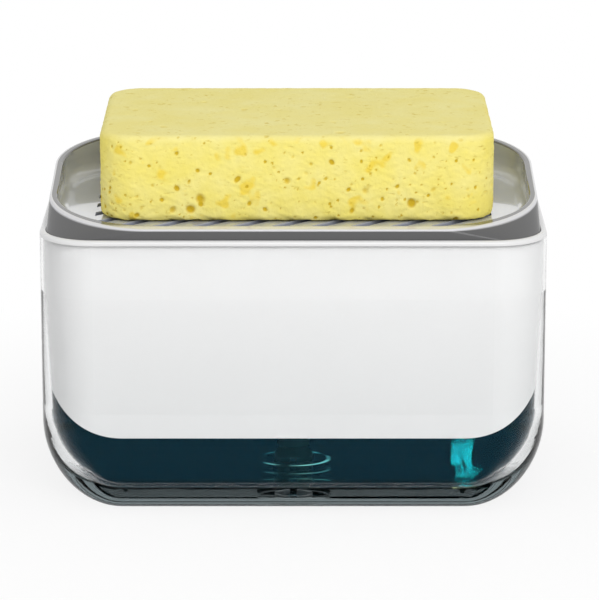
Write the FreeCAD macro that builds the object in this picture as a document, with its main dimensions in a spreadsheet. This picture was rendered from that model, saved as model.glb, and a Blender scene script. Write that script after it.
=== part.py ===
"""Soap pump caddy: a clear soap tank lined by a white sleeve, a lift-out deck that carries a piston pump,
and a slotted sponge tray that works the pump when it is pressed down.

Millimetres, +Z up, front towards -Y, origin under the middle of the tank's base.
"""

import FreeCAD, Part
import math
import os
import re
import Sketcher
from FreeCAD import Placement, Rotation, Vector

SHEET_NAME = "Sizes"

# Driving sizes: each is one cell of the sheet
SIZES = {
    # tank
    "body_width": 140.0,
    "body_depth": 90.0,
    "body_corner": 15.0,
    "tank_height": 75.2,
    "end_round": 22.5,
    "base_round": 4.0,
    "floor_thick": 5.0,
    "wall_thick": 2.4,
    "lip_wall": 0.8,
    "taper_base": 27.0,
    "taper_top": 60.0,
    "sump_diameter": 21.0,
    "sump_depth": 1.2,
    # white sleeve
    "sleeve_gap": 0.1,
    "sleeve_thick": 0.7,
    "rim_thick": 1.3,
    "rim_round": 0.9,
    "shoulder_height": 58.0,
    "shoulder_thick": 1.2,
    "shoulder_reach": 2.7,
    "shoulder_corner": 23.0,
    "band_height": 20.2,
    # soap
    "soap_depth": 35.0,
    "soap_gap": 0.15,
    # press tray
    "press_stroke": 10.0,
    "stop_gap": 0.8,
    "tray_gap": 0.2,
    "tray_rim_corner": 31.0,
    "tray_wall": 2.2,
    "tray_floor_rise": 2.4,
    "tray_floor_thick": 2.4,
    "front_rim_rise": 0.5,
    "back_rim_rise": 10.6,
    "dish_round": 3.0,
    "tray_rim_round": 0.6,
    "skirt_round": 1.4,
    "slot_width": 3.2,
    "slot_pitch": 10.9,
    "slot_border": 13.2,
    "slot_corner_room": 13.8,
    "slot_front": 3.6,
    "slot_angle": 45.0,
    "hub_diameter": 20.0,
    # deck
    "deck_gap": 0.4,
    "deck_thick": 1.2,
    "seal_thick": 0.8,
    "seal_inset": 0.3,
    "basin_gap": 0.6,
    "basin_drop": 6.6,
    "basin_round": 2.5,
    "well_diameter": 44.0,
    "well_drop": 9.4,
    "neck_diameter": 24.0,
    "neck_wall": 1.7,
    "neck_rise": 5.0,
    # pump
    "gasket_thick": 0.8,
    "gasket_gap": 0.2,
    "barrel_bore": 12.0,
    "barrel_wall": 1.5,
    "barrel_flange_thick": 1.4,
    "barrel_depth": 31.2,
    "barrel_base": 1.6,
    "guide_flange_diameter": 19.0,
    "guide_flange_thick": 1.2,
    "guide_plug": 4.4,
    "guide_fit": 0.05,
    "collar_wall": 2.75,
    "collar_web": 1.4,
    "collar_drop": 6.7,
    "collar_gap": 0.25,
    "collar_rib": 0.6,
    "stem_diameter": 6.5,
    "stem_bore": 2.2,
    "stem_head_diameter": 8.6,
    "stem_head_thick": 1.5,
    "running_fit": 0.05,
    "piston_gap": 0.5,
    "piston_length": 7.8,
    "piston_lip": 1.2,
    "piston_waist": 0.7,
    "socket_wall": 2.25,
    "socket_roof": 1.0,
    "socket_fit": 0.05,
    "stem_seal_thick": 0.6,
    "seat_gap": 0.05,
    "valve_chamber": 6.4,
    "valve_chamber_depth": 4.1,
    "valve_port": 3.0,
    "valve_port_length": 0.8,
    "inlet_ball_diameter": 4.5,
    "outlet_chamber": 4.2,
    "outlet_ball_diameter": 3.2,
    "outlet_chamber_depth": 3.4,
    "nozzle_diameter": 9.0,
    "nozzle_flange": 1.4,
    "nozzle_plug_diameter": 4.8,
    "nozzle_bore": 1.8,
    "nozzle_fit": 0.05,
    "spring_seat_thick": 1.2,
    "spring_seat_hole": 3.2,
    "spring_seat_fit": 0.1,
    "seat_port_diameter": 1.6,
    "seat_port_circle": 5.6,
    "spring_diameter": 7.6,
    "spring_wire": 0.9,
    "spring_clear": 0.1,
    "tube_diameter": 5.0,
    "tube_bore": 3.2,
    "tube_socket": 2.5,
    "nipple_wall": 2.0,
    "foot_diameter": 11.0,
    "foot_height": 4.6,
    "foot_lift": 0.4,
    "foot_chamber": 2.2,
    "foot_wall": 1.3,
    "foot_slot": 2.0,
    # sponge
    "sponge_end_room": 11.5,
    "sponge_side_room": 4.0,
    "sponge_height": 24.0,
    "sponge_corner_room": 18.8,
    "sponge_shift": 1.0,
    "sponge_edge": 2.0,
    "sponge_gap": 0.3,
    # one overrun for every cut
    "overrun": 2.0,
}

# Counts, and the tolerance that tells edges apart
SPRING_TURNS = 6
SPRING_QUARTERS = 4
SEAT_PORTS = 6
FOOT_SLOTS = 4
COLLAR_RIBS = 24
TOUCH = 0.001

# Sizes and heights that follow from the driving ones
DERIVED = {
    "rim_top": "tank_height + rim_thick",
    "liner_inset": "lip_wall + sleeve_gap",
    "opening_width": "body_width - 2 * (liner_inset + sleeve_thick)",
    "opening_depth": "body_depth - 2 * (liner_inset + sleeve_thick)",
    "opening_corner": "body_corner - liner_inset - sleeve_thick",
    "skirt_inset": "wall_thick + sleeve_gap",
    "shoulder_top": "shoulder_height + shoulder_thick",
    "shoulder_root": "liner_inset + sleeve_thick / 2",
    "shoulder_width": "opening_width - 2 * shoulder_reach",
    "shoulder_depth": "opening_depth - 2 * shoulder_reach",
    "soap_top": "floor_thick + soap_depth",
    "tray_width": "opening_width - 2 * tray_gap",
    "tray_depth": "opening_depth - 2 * tray_gap",
    "tray_corner": "opening_corner - tray_gap",
    "dish_width": "tray_width - 2 * tray_wall",
    "dish_depth": "tray_depth - 2 * tray_wall",
    "tray_floor_top": "rim_top + tray_floor_rise",
    "tray_underside": "tray_floor_top - tray_floor_thick",
    "tray_front_rim": "tray_floor_top + front_rim_rise",
    "tray_back_rim": "tray_floor_top + back_rim_rise",
    "rim_middle": "(tray_front_rim + tray_back_rim) / 2",
    "rim_slant": "atan((tray_back_rim - tray_front_rim) / tray_depth)",
    "dish_corner": "tray_rim_corner - tray_wall",
    "deck_width": "opening_width - 2 * deck_gap",
    "deck_depth": "opening_depth - 2 * deck_gap",
    "deck_corner": "opening_corner - deck_gap",
    "deck_base": "shoulder_top + seal_thick",
    "deck_top": "deck_base + deck_thick",
    "tray_skirt_base": "deck_top + press_stroke + stop_gap",
    "basin_width": "shoulder_width - 2 * basin_gap",
    "basin_depth": "shoulder_depth - 2 * basin_gap",
    "basin_corner": "shoulder_corner - basin_gap",
    "basin_floor": "deck_base - basin_drop",
    "well_floor": "basin_floor - well_drop",
    "neck_top": "well_floor + neck_rise",
    "barrel_flange_base": "neck_top + gasket_thick",
    "barrel_flange_top": "barrel_flange_base + barrel_flange_thick",
    "barrel_diameter": "barrel_bore + 2 * barrel_wall",
    "bore_floor": "barrel_flange_base - barrel_depth",
    "chamber_floor": "bore_floor - valve_chamber_depth",
    "seat_drop": "(valve_chamber - valve_port) / 2",
    "port_top": "chamber_floor - seat_drop",
    "tube_top": "port_top - valve_port_length",
    "nipple_base": "tube_top - tube_socket",
    "collar_top": "barrel_flange_top + collar_web",
    "collar_bore": "neck_diameter + 2 * collar_gap",
    "collar_diameter": "collar_bore + 2 * collar_wall",
    "guide_top": "barrel_flange_top + guide_flange_thick",
    "guide_base": "barrel_flange_top - guide_plug",
    "piston_top": "guide_base - piston_gap",
    "piston_base": "piston_top - piston_length",
    "stem_base": "piston_base - stem_head_thick",
    "socket_end": "tray_underside - socket_roof",
    "socket_base": "collar_top + press_stroke + stop_gap",
    "stem_top": "socket_end - stem_seal_thick",
    "outlet_floor": "stem_top - outlet_chamber_depth",
    "outlet_drop": "(outlet_chamber - stem_bore) / 2",
    "nozzle_seat": "tray_floor_top - nozzle_flange",
    "spring_base": "bore_floor + spring_seat_thick",
    "sump_floor": "floor_thick - sump_depth",
    "foot_base": "sump_floor + foot_lift",
    "foot_top": "foot_base + foot_height",
    "tube_base": "foot_base + foot_chamber",
    "sponge_width": "dish_width - 2 * sponge_end_room",
    "sponge_depth": "dish_depth - 2 * sponge_side_room",
    "sponge_corner": "dish_corner - sponge_corner_room",
    "sponge_base": "tray_floor_top + sponge_gap",
    "slot_field_width": "tray_width - 2 * slot_border",
    "slot_field_depth": "tray_depth - 2 * slot_front",
    "slot_corner": "dish_corner - slot_corner_room",
    "slot_length": "(slot_field_depth + 2 * overrun) / sin(slot_angle)",
    "collar_base": "barrel_flange_top - collar_drop",
    "nipple_diameter": "tube_diameter + 2 * nipple_wall",
}

doc = FreeCAD.newDocument("SoapPumpCaddy")
sheet = doc.addObject("Spreadsheet::Sheet", SHEET_NAME)
for row, (alias, number) in enumerate(SIZES.items(), start=1):
    sheet.set(f"A{row}", alias)
    sheet.set(f"B{row}", str(number))
    sheet.setAlias(f"B{row}", alias)
doc.recompute()


def bound(formula):
    """A formula in the names above, written out as an expression on the sheet's cells."""
    def spelled(match):
        name = match.group(0)
        if name in DERIVED:
            return "(" + bound(DERIVED[name]) + ")"
        if name in SIZES:
            return SHEET_NAME + "." + name
        return name
    return re.sub(r"[a-z][a-z_]*", spelled, formula)


def value(formula):
    """The number that a formula gives with the sheet as it stands."""
    result = sheet.evalExpression(bound(formula))
    return float(getattr(result, "Value", result))


def new_body(label):
    body = doc.addObject("PartDesign::Body", label)
    body.Label = label
    return body


def sketch_on(body, role, name, offset="0", slant="0"):
    """A sketch on one of the body's own origin planes, moved along its normal by a bound offset
    and, where a slant is given, tipped about its own X axis."""
    sketch = body.newObject("Sketcher::SketchObject", body.Label + "_" + name)
    plane = next(item for item in body.Origin.OriginFeatures if item.Role == role)
    sketch.AttachmentSupport = [(plane, "")]
    sketch.MapMode = "FlatFace"
    if slant != "0":
        sketch.AttachmentOffset = Placement(Vector(0, 0, 0), Rotation(Vector(1, 0, 0), value(slant)))
        sketch.setExpression("AttachmentOffset.Rotation.Angle", bound(slant))
    if offset != "0":
        sketch.setExpression("AttachmentOffset.Base.z", bound(offset))
    return sketch


def dimension(sketch, kind, name, formula, *places):
    """A named driving constraint bound to a formula."""
    index = sketch.addConstraint(Sketcher.Constraint(kind, *places, value(formula)))
    sketch.renameConstraint(index, name)
    sketch.setExpression("Constraints." + name, bound(formula))


def place_point(sketch, name, geometry, end, across, up):
    """Fix one end of a curve at bound distances from the sketch's origin."""
    for kind, axis, formula in (("DistanceX", -2, across), ("DistanceY", -1, up)):
        if formula == "0":
            sketch.addConstraint(Sketcher.Constraint("PointOnObject", geometry, end, axis))
        else:
            dimension(sketch, kind, name + "_" + kind[-1].lower(), formula, -1, 1, geometry, end)


def rounded_rectangle(sketch, width, depth, corner, tag="outline"):
    """A rectangle centred on the origin with four equal round corners."""
    half_x = value(width) / 2
    half_y = value(depth) / 2
    radius = value(corner)
    flat_x = half_x - radius
    flat_y = half_y - radius
    ends = [(-flat_x, -half_y, flat_x, -half_y), (half_x, -flat_y, half_x, flat_y),
            (flat_x, half_y, -flat_x, half_y), (-half_x, flat_y, -half_x, -flat_y)]
    centres = [(flat_x, -flat_y), (flat_x, flat_y), (-flat_x, flat_y), (-flat_x, -flat_y)]
    lines = []
    arcs = []
    for quarter in range(len(ends)):
        x1, y1, x2, y2 = ends[quarter]
        lines.append(sketch.addGeometry(Part.LineSegment(Vector(x1, y1, 0), Vector(x2, y2, 0))))
        circle = Part.Circle(Vector(*centres[quarter], 0), Vector(0, 0, 1), radius)
        start = (quarter - 1) * math.pi / 2
        arcs.append(sketch.addGeometry(Part.ArcOfCircle(circle, start, start + math.pi / 2)))
    for quarter in range(len(ends)):
        sketch.addConstraint(Sketcher.Constraint("Tangent", lines[quarter], 2, arcs[quarter], 1))
        sketch.addConstraint(Sketcher.Constraint("Tangent", arcs[quarter], 2, lines[(quarter + 1) % 4], 1))
        sketch.addConstraint(Sketcher.Constraint("Vertical" if quarter % 2 else "Horizontal", lines[quarter]))
    for arc in arcs[1:]:
        sketch.addConstraint(Sketcher.Constraint("Equal", arcs[0], arc))
    sketch.addConstraint(Sketcher.Constraint("Symmetric", arcs[0], 3, arcs[2], 3, -1, 1))
    dimension(sketch, "DistanceX", tag + "_width", width, lines[3], 1, lines[1], 1)
    dimension(sketch, "DistanceY", tag + "_depth", depth, lines[0], 1, lines[2], 1)
    dimension(sketch, "Radius", tag + "_corner", corner, arcs[0])


def disc(sketch, diameter, across="0", up="0", tag="disc"):
    """A circle of a bound diameter, on the origin unless it is placed."""
    centre = Vector(value(across), value(up), 0)
    circle = sketch.addGeometry(Part.Circle(centre, Vector(0, 0, 1), value(diameter) / 2))
    place_point(sketch, tag, circle, 3, across, up)
    dimension(sketch, "Diameter", tag + "_diameter", diameter, circle)


def closed_outline(sketch, corners, tag="corner"):
    """Straight sides through bound corners, given as (across, up) formulas."""
    points = [Vector(value(across), value(up), 0) for across, up in corners]
    sides = []
    for index, point in enumerate(points):
        following = points[(index + 1) % len(points)]
        sides.append(sketch.addGeometry(Part.LineSegment(point, following)))
    for index, (across, up) in enumerate(corners):
        sketch.addConstraint(Sketcher.Constraint("Coincident", sides[index - 1], 2, sides[index], 1))
        place_point(sketch, f"{tag}{index}", sides[index], 1, across, up)


def tub_outline(sketch, width, low, high, end_radius):
    """The tub seen from the front: straight sides, flat top and base, and two round lower ends."""
    half = value(width) / 2
    bottom = value(low)
    top = value(high)
    radius = value(end_radius)
    flat = half - radius
    spring = bottom + radius
    left = sketch.addGeometry(Part.LineSegment(Vector(-half, top, 0), Vector(-half, spring, 0)))
    circle = Part.Circle(Vector(-flat, spring, 0), Vector(0, 0, 1), radius)
    left_end = sketch.addGeometry(Part.ArcOfCircle(circle, math.pi, 1.5 * math.pi))
    base = sketch.addGeometry(Part.LineSegment(Vector(-flat, bottom, 0), Vector(flat, bottom, 0)))
    circle = Part.Circle(Vector(flat, spring, 0), Vector(0, 0, 1), radius)
    right_end = sketch.addGeometry(Part.ArcOfCircle(circle, 1.5 * math.pi, 2 * math.pi))
    right = sketch.addGeometry(Part.LineSegment(Vector(half, spring, 0), Vector(half, top, 0)))
    mouth = sketch.addGeometry(Part.LineSegment(Vector(half, top, 0), Vector(-half, top, 0)))
    sketch.addConstraint(Sketcher.Constraint("Tangent", left, 2, left_end, 1))
    sketch.addConstraint(Sketcher.Constraint("Tangent", left_end, 2, base, 1))
    sketch.addConstraint(Sketcher.Constraint("Tangent", base, 2, right_end, 1))
    sketch.addConstraint(Sketcher.Constraint("Tangent", right_end, 2, right, 1))
    sketch.addConstraint(Sketcher.Constraint("Coincident", right, 2, mouth, 1))
    sketch.addConstraint(Sketcher.Constraint("Coincident", mouth, 2, left, 1))
    sketch.addConstraint(Sketcher.Constraint("Vertical", left))
    sketch.addConstraint(Sketcher.Constraint("Vertical", right))
    sketch.addConstraint(Sketcher.Constraint("Horizontal", base))
    sketch.addConstraint(Sketcher.Constraint("Equal", left_end, right_end))
    sketch.addConstraint(Sketcher.Constraint("Symmetric", left, 1, right, 2, -2))
    dimension(sketch, "DistanceX", "width", width, mouth, 2, mouth, 1)
    dimension(sketch, "Radius", "end_round", end_radius, left_end)
    dimension(sketch, "DistanceY", "top", high, -1, 1, mouth, 1)
    if low == "0":
        sketch.addConstraint(Sketcher.Constraint("PointOnObject", base, 1, -1))
    else:
        dimension(sketch, "DistanceY", "base", low, -1, 1, base, 1)


def pad(body, sketch, length, downward=False, both_ways=False):
    feature = body.newObject("PartDesign::Pad", sketch.Name + "_pad")
    feature.Profile = sketch
    feature.setExpression("Length", bound(length))
    feature.Reversed = downward
    feature.Midplane = both_ways
    return feature


def pocket(body, sketch, length, upward=False, both_ways=False):
    """A cut from the sketch's plane; it must take something away."""
    doc.recompute()
    before = body.Shape.Volume
    feature = body.newObject("PartDesign::Pocket", sketch.Name + "_pocket")
    feature.Profile = sketch
    feature.setExpression("Length", bound(length))
    feature.Reversed = upward
    feature.Midplane = both_ways
    doc.recompute()
    if not body.Shape.Volume < before:
        raise RuntimeError(feature.Name + " cuts nothing")
    return feature


def loft(body, kind, lower, upper):
    """A ruled loft between two sketches with matching sides."""
    feature = body.newObject("PartDesign::" + kind, lower.Name + "_loft")
    feature.Profile = lower
    feature.Sections = [upper]
    feature.Ruled = True
    return feature


def turn(body, corners):
    """A solid of revolution about Z from (radius, height) corners."""
    sketch = sketch_on(body, "XZ_Plane", "profile")
    closed_outline(sketch, corners)
    feature = body.newObject("PartDesign::Revolution", body.Label + "_turned")
    feature.Profile = sketch
    feature.ReferenceAxis = (sketch, ["V_Axis"])
    feature.Angle = 360
    return feature


def round_edges(body, feature, radius, wanted):
    """A fillet on the edges of a feature that a test on their bounding box and shape picks."""
    doc.recompute()
    names = [f"Edge{index}" for index, edge in enumerate(feature.Shape.Edges, start=1) if wanted(edge)]
    fillet = body.newObject("PartDesign::Fillet", feature.Name + "_round")
    fillet.Base = (feature, names)
    fillet.setExpression("Radius", bound(radius))
    return fillet


def at_height(edge, formula):
    """Whether an edge lies flat at a height."""
    level = value(formula)
    box = edge.BoundBox
    return abs(box.ZMin - level) < TOUCH and abs(box.ZMax - level) < TOUCH


def cut(label, base, tool):
    feature = doc.addObject("Part::Cut", label)
    feature.Label = label
    feature.Base = base
    feature.Tool = tool
    return feature


def tub(label, inset, low, high, corner, base_edge):
    """A block with the tub's outline from the front, whose front and back outlines are rounded:
    the upright corners by their plan radius, easing along the round ends to a small radius under the base."""
    body = new_body(label + "_block")
    sketch = sketch_on(body, "XZ_Plane", "front")
    tub_outline(sketch, f"body_width - 2 * ({inset})", low, high, f"end_round - ({inset})")
    block = pad(body, sketch, f"body_depth - 2 * ({inset})", both_ways=True)
    doc.recompute()
    bottom = value(low)
    top = value(high)
    plan_radius = value(corner)
    base_radius = value(base_edge)
    radii = []
    for index, edge in enumerate(block.Shape.Edges, start=1):
        box = edge.BoundBox
        if box.YLength > TOUCH or box.ZMin > top - TOUCH:
            continue
        heights = (edge.firstVertex().Z, edge.lastVertex().Z)
        start, end = (base_radius if height < bottom + TOUCH else plan_radius for height in heights)
        radii.append((index, start, end))
    rounded = doc.addObject("Part::Fillet", label)
    rounded.Label = label
    rounded.Base = body
    rounded.Edges = radii
    return rounded


def inset_outline(body, name, inset, height):
    """The body's plan at a height, moved inwards."""
    sketch = sketch_on(body, "XY_Plane", name, height)
    rounded_rectangle(sketch, f"body_width - 2 * ({inset})", f"body_depth - 2 * ({inset})",
                      f"body_corner - ({inset})")
    return sketch


def taper(body, kind, name, low_inset, high_inset):
    """The drafted stretch of the wall, from its lower inset to its upper one."""
    lower = inset_outline(body, name + "_low", low_inset, "taper_base")
    upper = inset_outline(body, name + "_high", high_inset, "taper_top")
    return loft(body, kind, lower, upper)


def make_tank():
    """Clear tub with a thick floor, walls that taper to a thin lip, and a shallow sump in its floor."""
    outside = tub("tank_outside", "0", "0", "tank_height", "body_corner", "base_round")
    cavity = tub("tank_cavity", "wall_thick", "floor_thick", "tank_height + overrun",
                 "body_corner - wall_thick", "base_round")
    lip = new_body("tank_lip_space")
    taper(lip, "AdditiveLoft", "taper", "wall_thick", "lip_wall")
    sketch = inset_outline(lip, "lip", "lip_wall", "taper_top")
    pad(lip, sketch, "tank_height - taper_top + overrun")
    sump = new_body("tank_sump_space")
    sketch = sketch_on(sump, "XY_Plane", "plan", "sump_floor")
    disc(sketch, "sump_diameter")
    pad(sump, sketch, "sump_depth + overrun")
    hollow = cut("tank_hollow", outside, cavity)
    lipped = cut("tank_lipped", hollow, lip)
    return cut("tank", lipped, sump)


def band_cut(body, name, inset, low):
    """Takes away what lies below the band's lower edge, which runs parallel to the tub's outline."""
    sketch = sketch_on(body, "XZ_Plane", name)
    half = value(f"body_width / 2 - ({inset})")
    level = value(low)
    radius = value(f"end_round - ({inset})")
    outer = value("body_width / 2 + overrun")
    bottom = -value("overrun")
    spring = level + radius
    flat = half - radius
    middle = Vector(0, 0, 1)
    base = sketch.addGeometry(Part.LineSegment(Vector(-outer, bottom, 0), Vector(outer, bottom, 0)))
    right = sketch.addGeometry(Part.LineSegment(Vector(outer, bottom, 0), Vector(outer, spring, 0)))
    right_step = sketch.addGeometry(Part.LineSegment(Vector(outer, spring, 0), Vector(half, spring, 0)))
    circle = Part.Circle(Vector(flat, spring, 0), middle, radius)
    right_end = sketch.addGeometry(Part.ArcOfCircle(circle, 1.5 * math.pi, 2 * math.pi))
    edge = sketch.addGeometry(Part.LineSegment(Vector(flat, level, 0), Vector(-flat, level, 0)))
    circle = Part.Circle(Vector(-flat, spring, 0), middle, radius)
    left_end = sketch.addGeometry(Part.ArcOfCircle(circle, math.pi, 1.5 * math.pi))
    left_step = sketch.addGeometry(Part.LineSegment(Vector(-half, spring, 0), Vector(-outer, spring, 0)))
    left = sketch.addGeometry(Part.LineSegment(Vector(-outer, spring, 0), Vector(-outer, bottom, 0)))
    for first, second in ((base, right), (right, right_step), (left_step, left), (left, base)):
        sketch.addConstraint(Sketcher.Constraint("Coincident", first, 2, second, 1))
    sketch.addConstraint(Sketcher.Constraint("Coincident", right_step, 2, right_end, 2))
    sketch.addConstraint(Sketcher.Constraint("Tangent", right_end, 1, edge, 1))
    sketch.addConstraint(Sketcher.Constraint("Tangent", edge, 2, left_end, 2))
    sketch.addConstraint(Sketcher.Constraint("Coincident", left_end, 1, left_step, 1))
    for line in (right_step, left_step):
        sketch.addConstraint(Sketcher.Constraint("Horizontal", line))
    for line in (right, left):
        sketch.addConstraint(Sketcher.Constraint("Vertical", line))
    sketch.addConstraint(Sketcher.Constraint("Equal", right_end, left_end))
    sketch.addConstraint(Sketcher.Constraint("Symmetric", edge, 1, edge, 2, -2))
    sketch.addConstraint(Sketcher.Constraint("Symmetric", base, 1, base, 2, -2))
    dimension(sketch, "Radius", "end_round", f"end_round - ({inset})", right_end)
    dimension(sketch, "DistanceX", "width", f"body_width - 2 * ({inset})", left_step, 1, right_step, 2)
    dimension(sketch, "DistanceX", "reach", "body_width + 2 * overrun", base, 1, base, 2)
    dimension(sketch, "DistanceY", "level", low, -1, 1, edge, 1)
    dimension(sketch, "DistanceY", "spring", f"{low} + end_round - ({inset})", -1, 1, right_step, 1)
    dimension(sketch, "DistanceY", "below", "overrun", base, 1, -1, 1)
    pocket(body, sketch, "body_depth + overrun", both_ways=True)


def outside_opening(edge):
    """Whether an edge of the rim belongs to its outer outline, not to the opening's."""
    box = edge.BoundBox
    reach_x = max(abs(box.XMin), abs(box.XMax))
    reach_y = max(abs(box.YMin), abs(box.YMax))
    return reach_x > value("opening_width / 2") + TOUCH or reach_y > value("opening_depth / 2") + TOUCH


def make_sleeve():
    """White liner: a rim on the tank's lip, a wall that follows its taper down to a round-ended edge,
    and a shoulder inside for the deck."""
    body = new_body("white_sleeve")
    taper(body, "AdditiveLoft", "outside", "skirt_inset", "liner_inset")
    taper(body, "SubtractiveLoft", "inside", "skirt_inset + sleeve_thick", "liner_inset + sleeve_thick")
    sketch = sketch_on(body, "XY_Plane", "liner", "taper_top")
    rounded_rectangle(sketch, "body_width - 2 * liner_inset", "body_depth - 2 * liner_inset",
                      "body_corner - liner_inset", "outer")
    rounded_rectangle(sketch, "opening_width", "opening_depth", "opening_corner", "inner")
    pad(body, sketch, "tank_height - taper_top")
    sketch = sketch_on(body, "XY_Plane", "rim", "tank_height")
    rounded_rectangle(sketch, "body_width", "body_depth", "body_corner", "outer")
    rounded_rectangle(sketch, "opening_width", "opening_depth", "opening_corner", "inner")
    rim = pad(body, sketch, "rim_thick")
    round_edges(body, rim, "rim_round", lambda edge: at_height(edge, "rim_top") and outside_opening(edge))
    sketch = sketch_on(body, "XY_Plane", "shoulder", "shoulder_height")
    rounded_rectangle(sketch, "body_width - 2 * shoulder_root", "body_depth - 2 * shoulder_root",
                      "body_corner - shoulder_root", "outer")
    rounded_rectangle(sketch, "shoulder_width", "shoulder_depth", "shoulder_corner", "inner")
    pad(body, sketch, "shoulder_thick")
    sketch = sketch_on(body, "XY_Plane", "skirt", "taper_base")
    rounded_rectangle(sketch, "body_width - 2 * skirt_inset", "body_depth - 2 * skirt_inset",
                      "body_corner - skirt_inset", "outer")
    rounded_rectangle(sketch, "body_width - 2 * (skirt_inset + sleeve_thick)",
                      "body_depth - 2 * (skirt_inset + sleeve_thick)",
                      "body_corner - skirt_inset - sleeve_thick", "inner")
    pad(body, sketch, "taper_base", downward=True)
    band_cut(body, "lower_edge", "skirt_inset", "band_height")
    return body


def make_soap():
    """The soap up to its level, inside the tank and the sleeve, with a well for the pump to lift out of."""
    block = tub("soap_block", "wall_thick + soap_gap", "floor_thick + soap_gap", "soap_top",
                "body_corner - wall_thick - soap_gap", "base_round")
    envelope = new_body("soap_liner_space")
    sketch = sketch_on(envelope, "XY_Plane", "plan")
    rounded_rectangle(sketch, "body_width", "body_depth", "body_corner", "outer")
    rounded_rectangle(sketch, "body_width - 2 * (skirt_inset + sleeve_thick + soap_gap)",
                      "body_depth - 2 * (skirt_inset + sleeve_thick + soap_gap)",
                      "body_corner - skirt_inset - sleeve_thick - soap_gap", "inner")
    pad(envelope, sketch, "soap_top + overrun")
    band_cut(envelope, "lower_edge", "skirt_inset", "band_height - soap_gap")
    well = new_body("soap_pump_space")
    sketch = sketch_on(well, "XY_Plane", "plan")
    disc(sketch, "barrel_diameter + overrun")
    pad(well, sketch, "soap_top + overrun")
    lined = cut("soap_lined", block, envelope)
    return cut("liquid_soap", lined, well)


def slot_tools():
    """The slanted drain slots, kept inside a rounded field and off the hub in the middle."""
    field = new_body("slot_field")
    sketch = sketch_on(field, "XY_Plane", "plan", "tray_underside - overrun")
    rounded_rectangle(sketch, "slot_field_width", "slot_field_depth", "slot_corner", "field")
    disc(sketch, "hub_diameter", tag="hub")
    pad(field, sketch, "tray_floor_thick + 2 * overrun")
    slanted_reach = value("slot_field_depth / tan(slot_angle)")
    steps = int((value("slot_field_width") + slanted_reach) / 2 / value("slot_pitch"))
    slots = []
    for step in range(-steps, steps + 1):
        slot = doc.addObject("Part::Box", "drain_slot")
        slot.Placement = Placement(Vector(0, 0, 0), Rotation(Vector(0, 0, 1), value("slot_angle")))
        slot.setExpression("Length", bound("slot_length"))
        slot.setExpression("Width", bound("slot_width"))
        slot.setExpression("Height", bound("tray_floor_thick + 2 * overrun"))
        back = "slot_length / 2 * cos(slot_angle) - slot_width / 2 * sin(slot_angle)"
        down = "slot_length / 2 * sin(slot_angle) + slot_width / 2 * cos(slot_angle)"
        slot.setExpression("Placement.Base.x", bound(f"{step} * slot_pitch - ({back})"))
        slot.setExpression("Placement.Base.y", bound(f"-({down})"))
        slot.setExpression("Placement.Base.z", bound("tray_underside - overrun"))
        slots.append(slot)
    bank = doc.addObject("Part::MultiFuse", "slot_bank")
    bank.Shapes = slots
    clipped = doc.addObject("Part::Common", "slot_tools")
    clipped.Base = bank
    clipped.Tool = field
    return clipped


def on_rim(edge):
    """Whether an edge lies in the tray's slanted rim."""
    rise = math.tan(math.radians(value("rim_slant")))
    level = value("rim_middle")
    places = [vertex.Point for vertex in edge.Vertexes] + [edge.CenterOfMass]
    return all(abs(place.z - level - rise * place.y) < TOUCH for place in places)


def make_tray():
    """Press tray: a low wall with a slanted rim, whose corners grow rounder upwards, round a slotted floor,
    a skirt that telescopes into the sleeve, and a socket underneath for the pump's stem."""
    body = new_body("tray_shell")
    sketch = sketch_on(body, "XY_Plane", "plan", "tray_skirt_base")
    rounded_rectangle(sketch, "tray_width", "tray_depth", "tray_corner")
    skirt = pad(body, sketch, "rim_top - tray_skirt_base")
    round_edges(body, skirt, "skirt_round", lambda edge: at_height(edge, "tray_skirt_base"))
    lower = sketch_on(body, "XY_Plane", "wall_base", "rim_top")
    rounded_rectangle(lower, "tray_width", "tray_depth", "tray_corner")
    upper = sketch_on(body, "XY_Plane", "wall_rim", "rim_middle", "rim_slant")
    rounded_rectangle(upper, "tray_width", "tray_depth / cos(rim_slant)", "tray_rim_corner")
    loft(body, "AdditiveLoft", lower, upper)
    sketch = sketch_on(body, "XY_Plane", "underside", "tray_skirt_base")
    rounded_rectangle(sketch, "dish_width", "dish_depth", "tray_corner - tray_wall")
    pocket(body, sketch, "tray_underside - tray_skirt_base", upward=True)
    sketch = sketch_on(body, "XY_Plane", "socket", "tray_underside")
    disc(sketch, "stem_diameter + 2 * socket_wall")
    pad(body, sketch, "tray_underside - socket_base", downward=True)
    sketch = sketch_on(body, "XY_Plane", "socket_bore", "socket_base")
    disc(sketch, "stem_diameter + 2 * socket_fit")
    pocket(body, sketch, "socket_end - socket_base", upward=True)
    sketch = sketch_on(body, "XY_Plane", "outlet_bore", "socket_end")
    disc(sketch, "nozzle_plug_diameter")
    pocket(body, sketch, "tray_floor_top - socket_end + overrun", upward=True)
    sketch = sketch_on(body, "XY_Plane", "nozzle_seat", "nozzle_seat")
    disc(sketch, "nozzle_diameter")
    pocket(body, sketch, "nozzle_flange + overrun", upward=True)
    dish = new_body("tray_dish_space")
    sketch = sketch_on(dish, "XY_Plane", "plan", "tray_floor_top")
    rounded_rectangle(sketch, "dish_width", "dish_depth", "dish_corner")
    space = pad(dish, sketch, "back_rim_rise + overrun")
    round_edges(dish, space, "dish_round", lambda edge: at_height(edge, "tray_floor_top"))
    hollow = cut("tray_hollow", body, dish)
    doc.recompute()
    rounded = doc.addObject("Part::Fillet", "tray_rounded")
    rounded.Base = hollow
    radius = value("tray_rim_round")
    rounded.Edges = [(index, radius, radius) for index, edge in enumerate(hollow.Shape.Edges, start=1)
                     if on_rim(edge)]
    return cut("press_tray", rounded, slot_tools())


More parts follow.
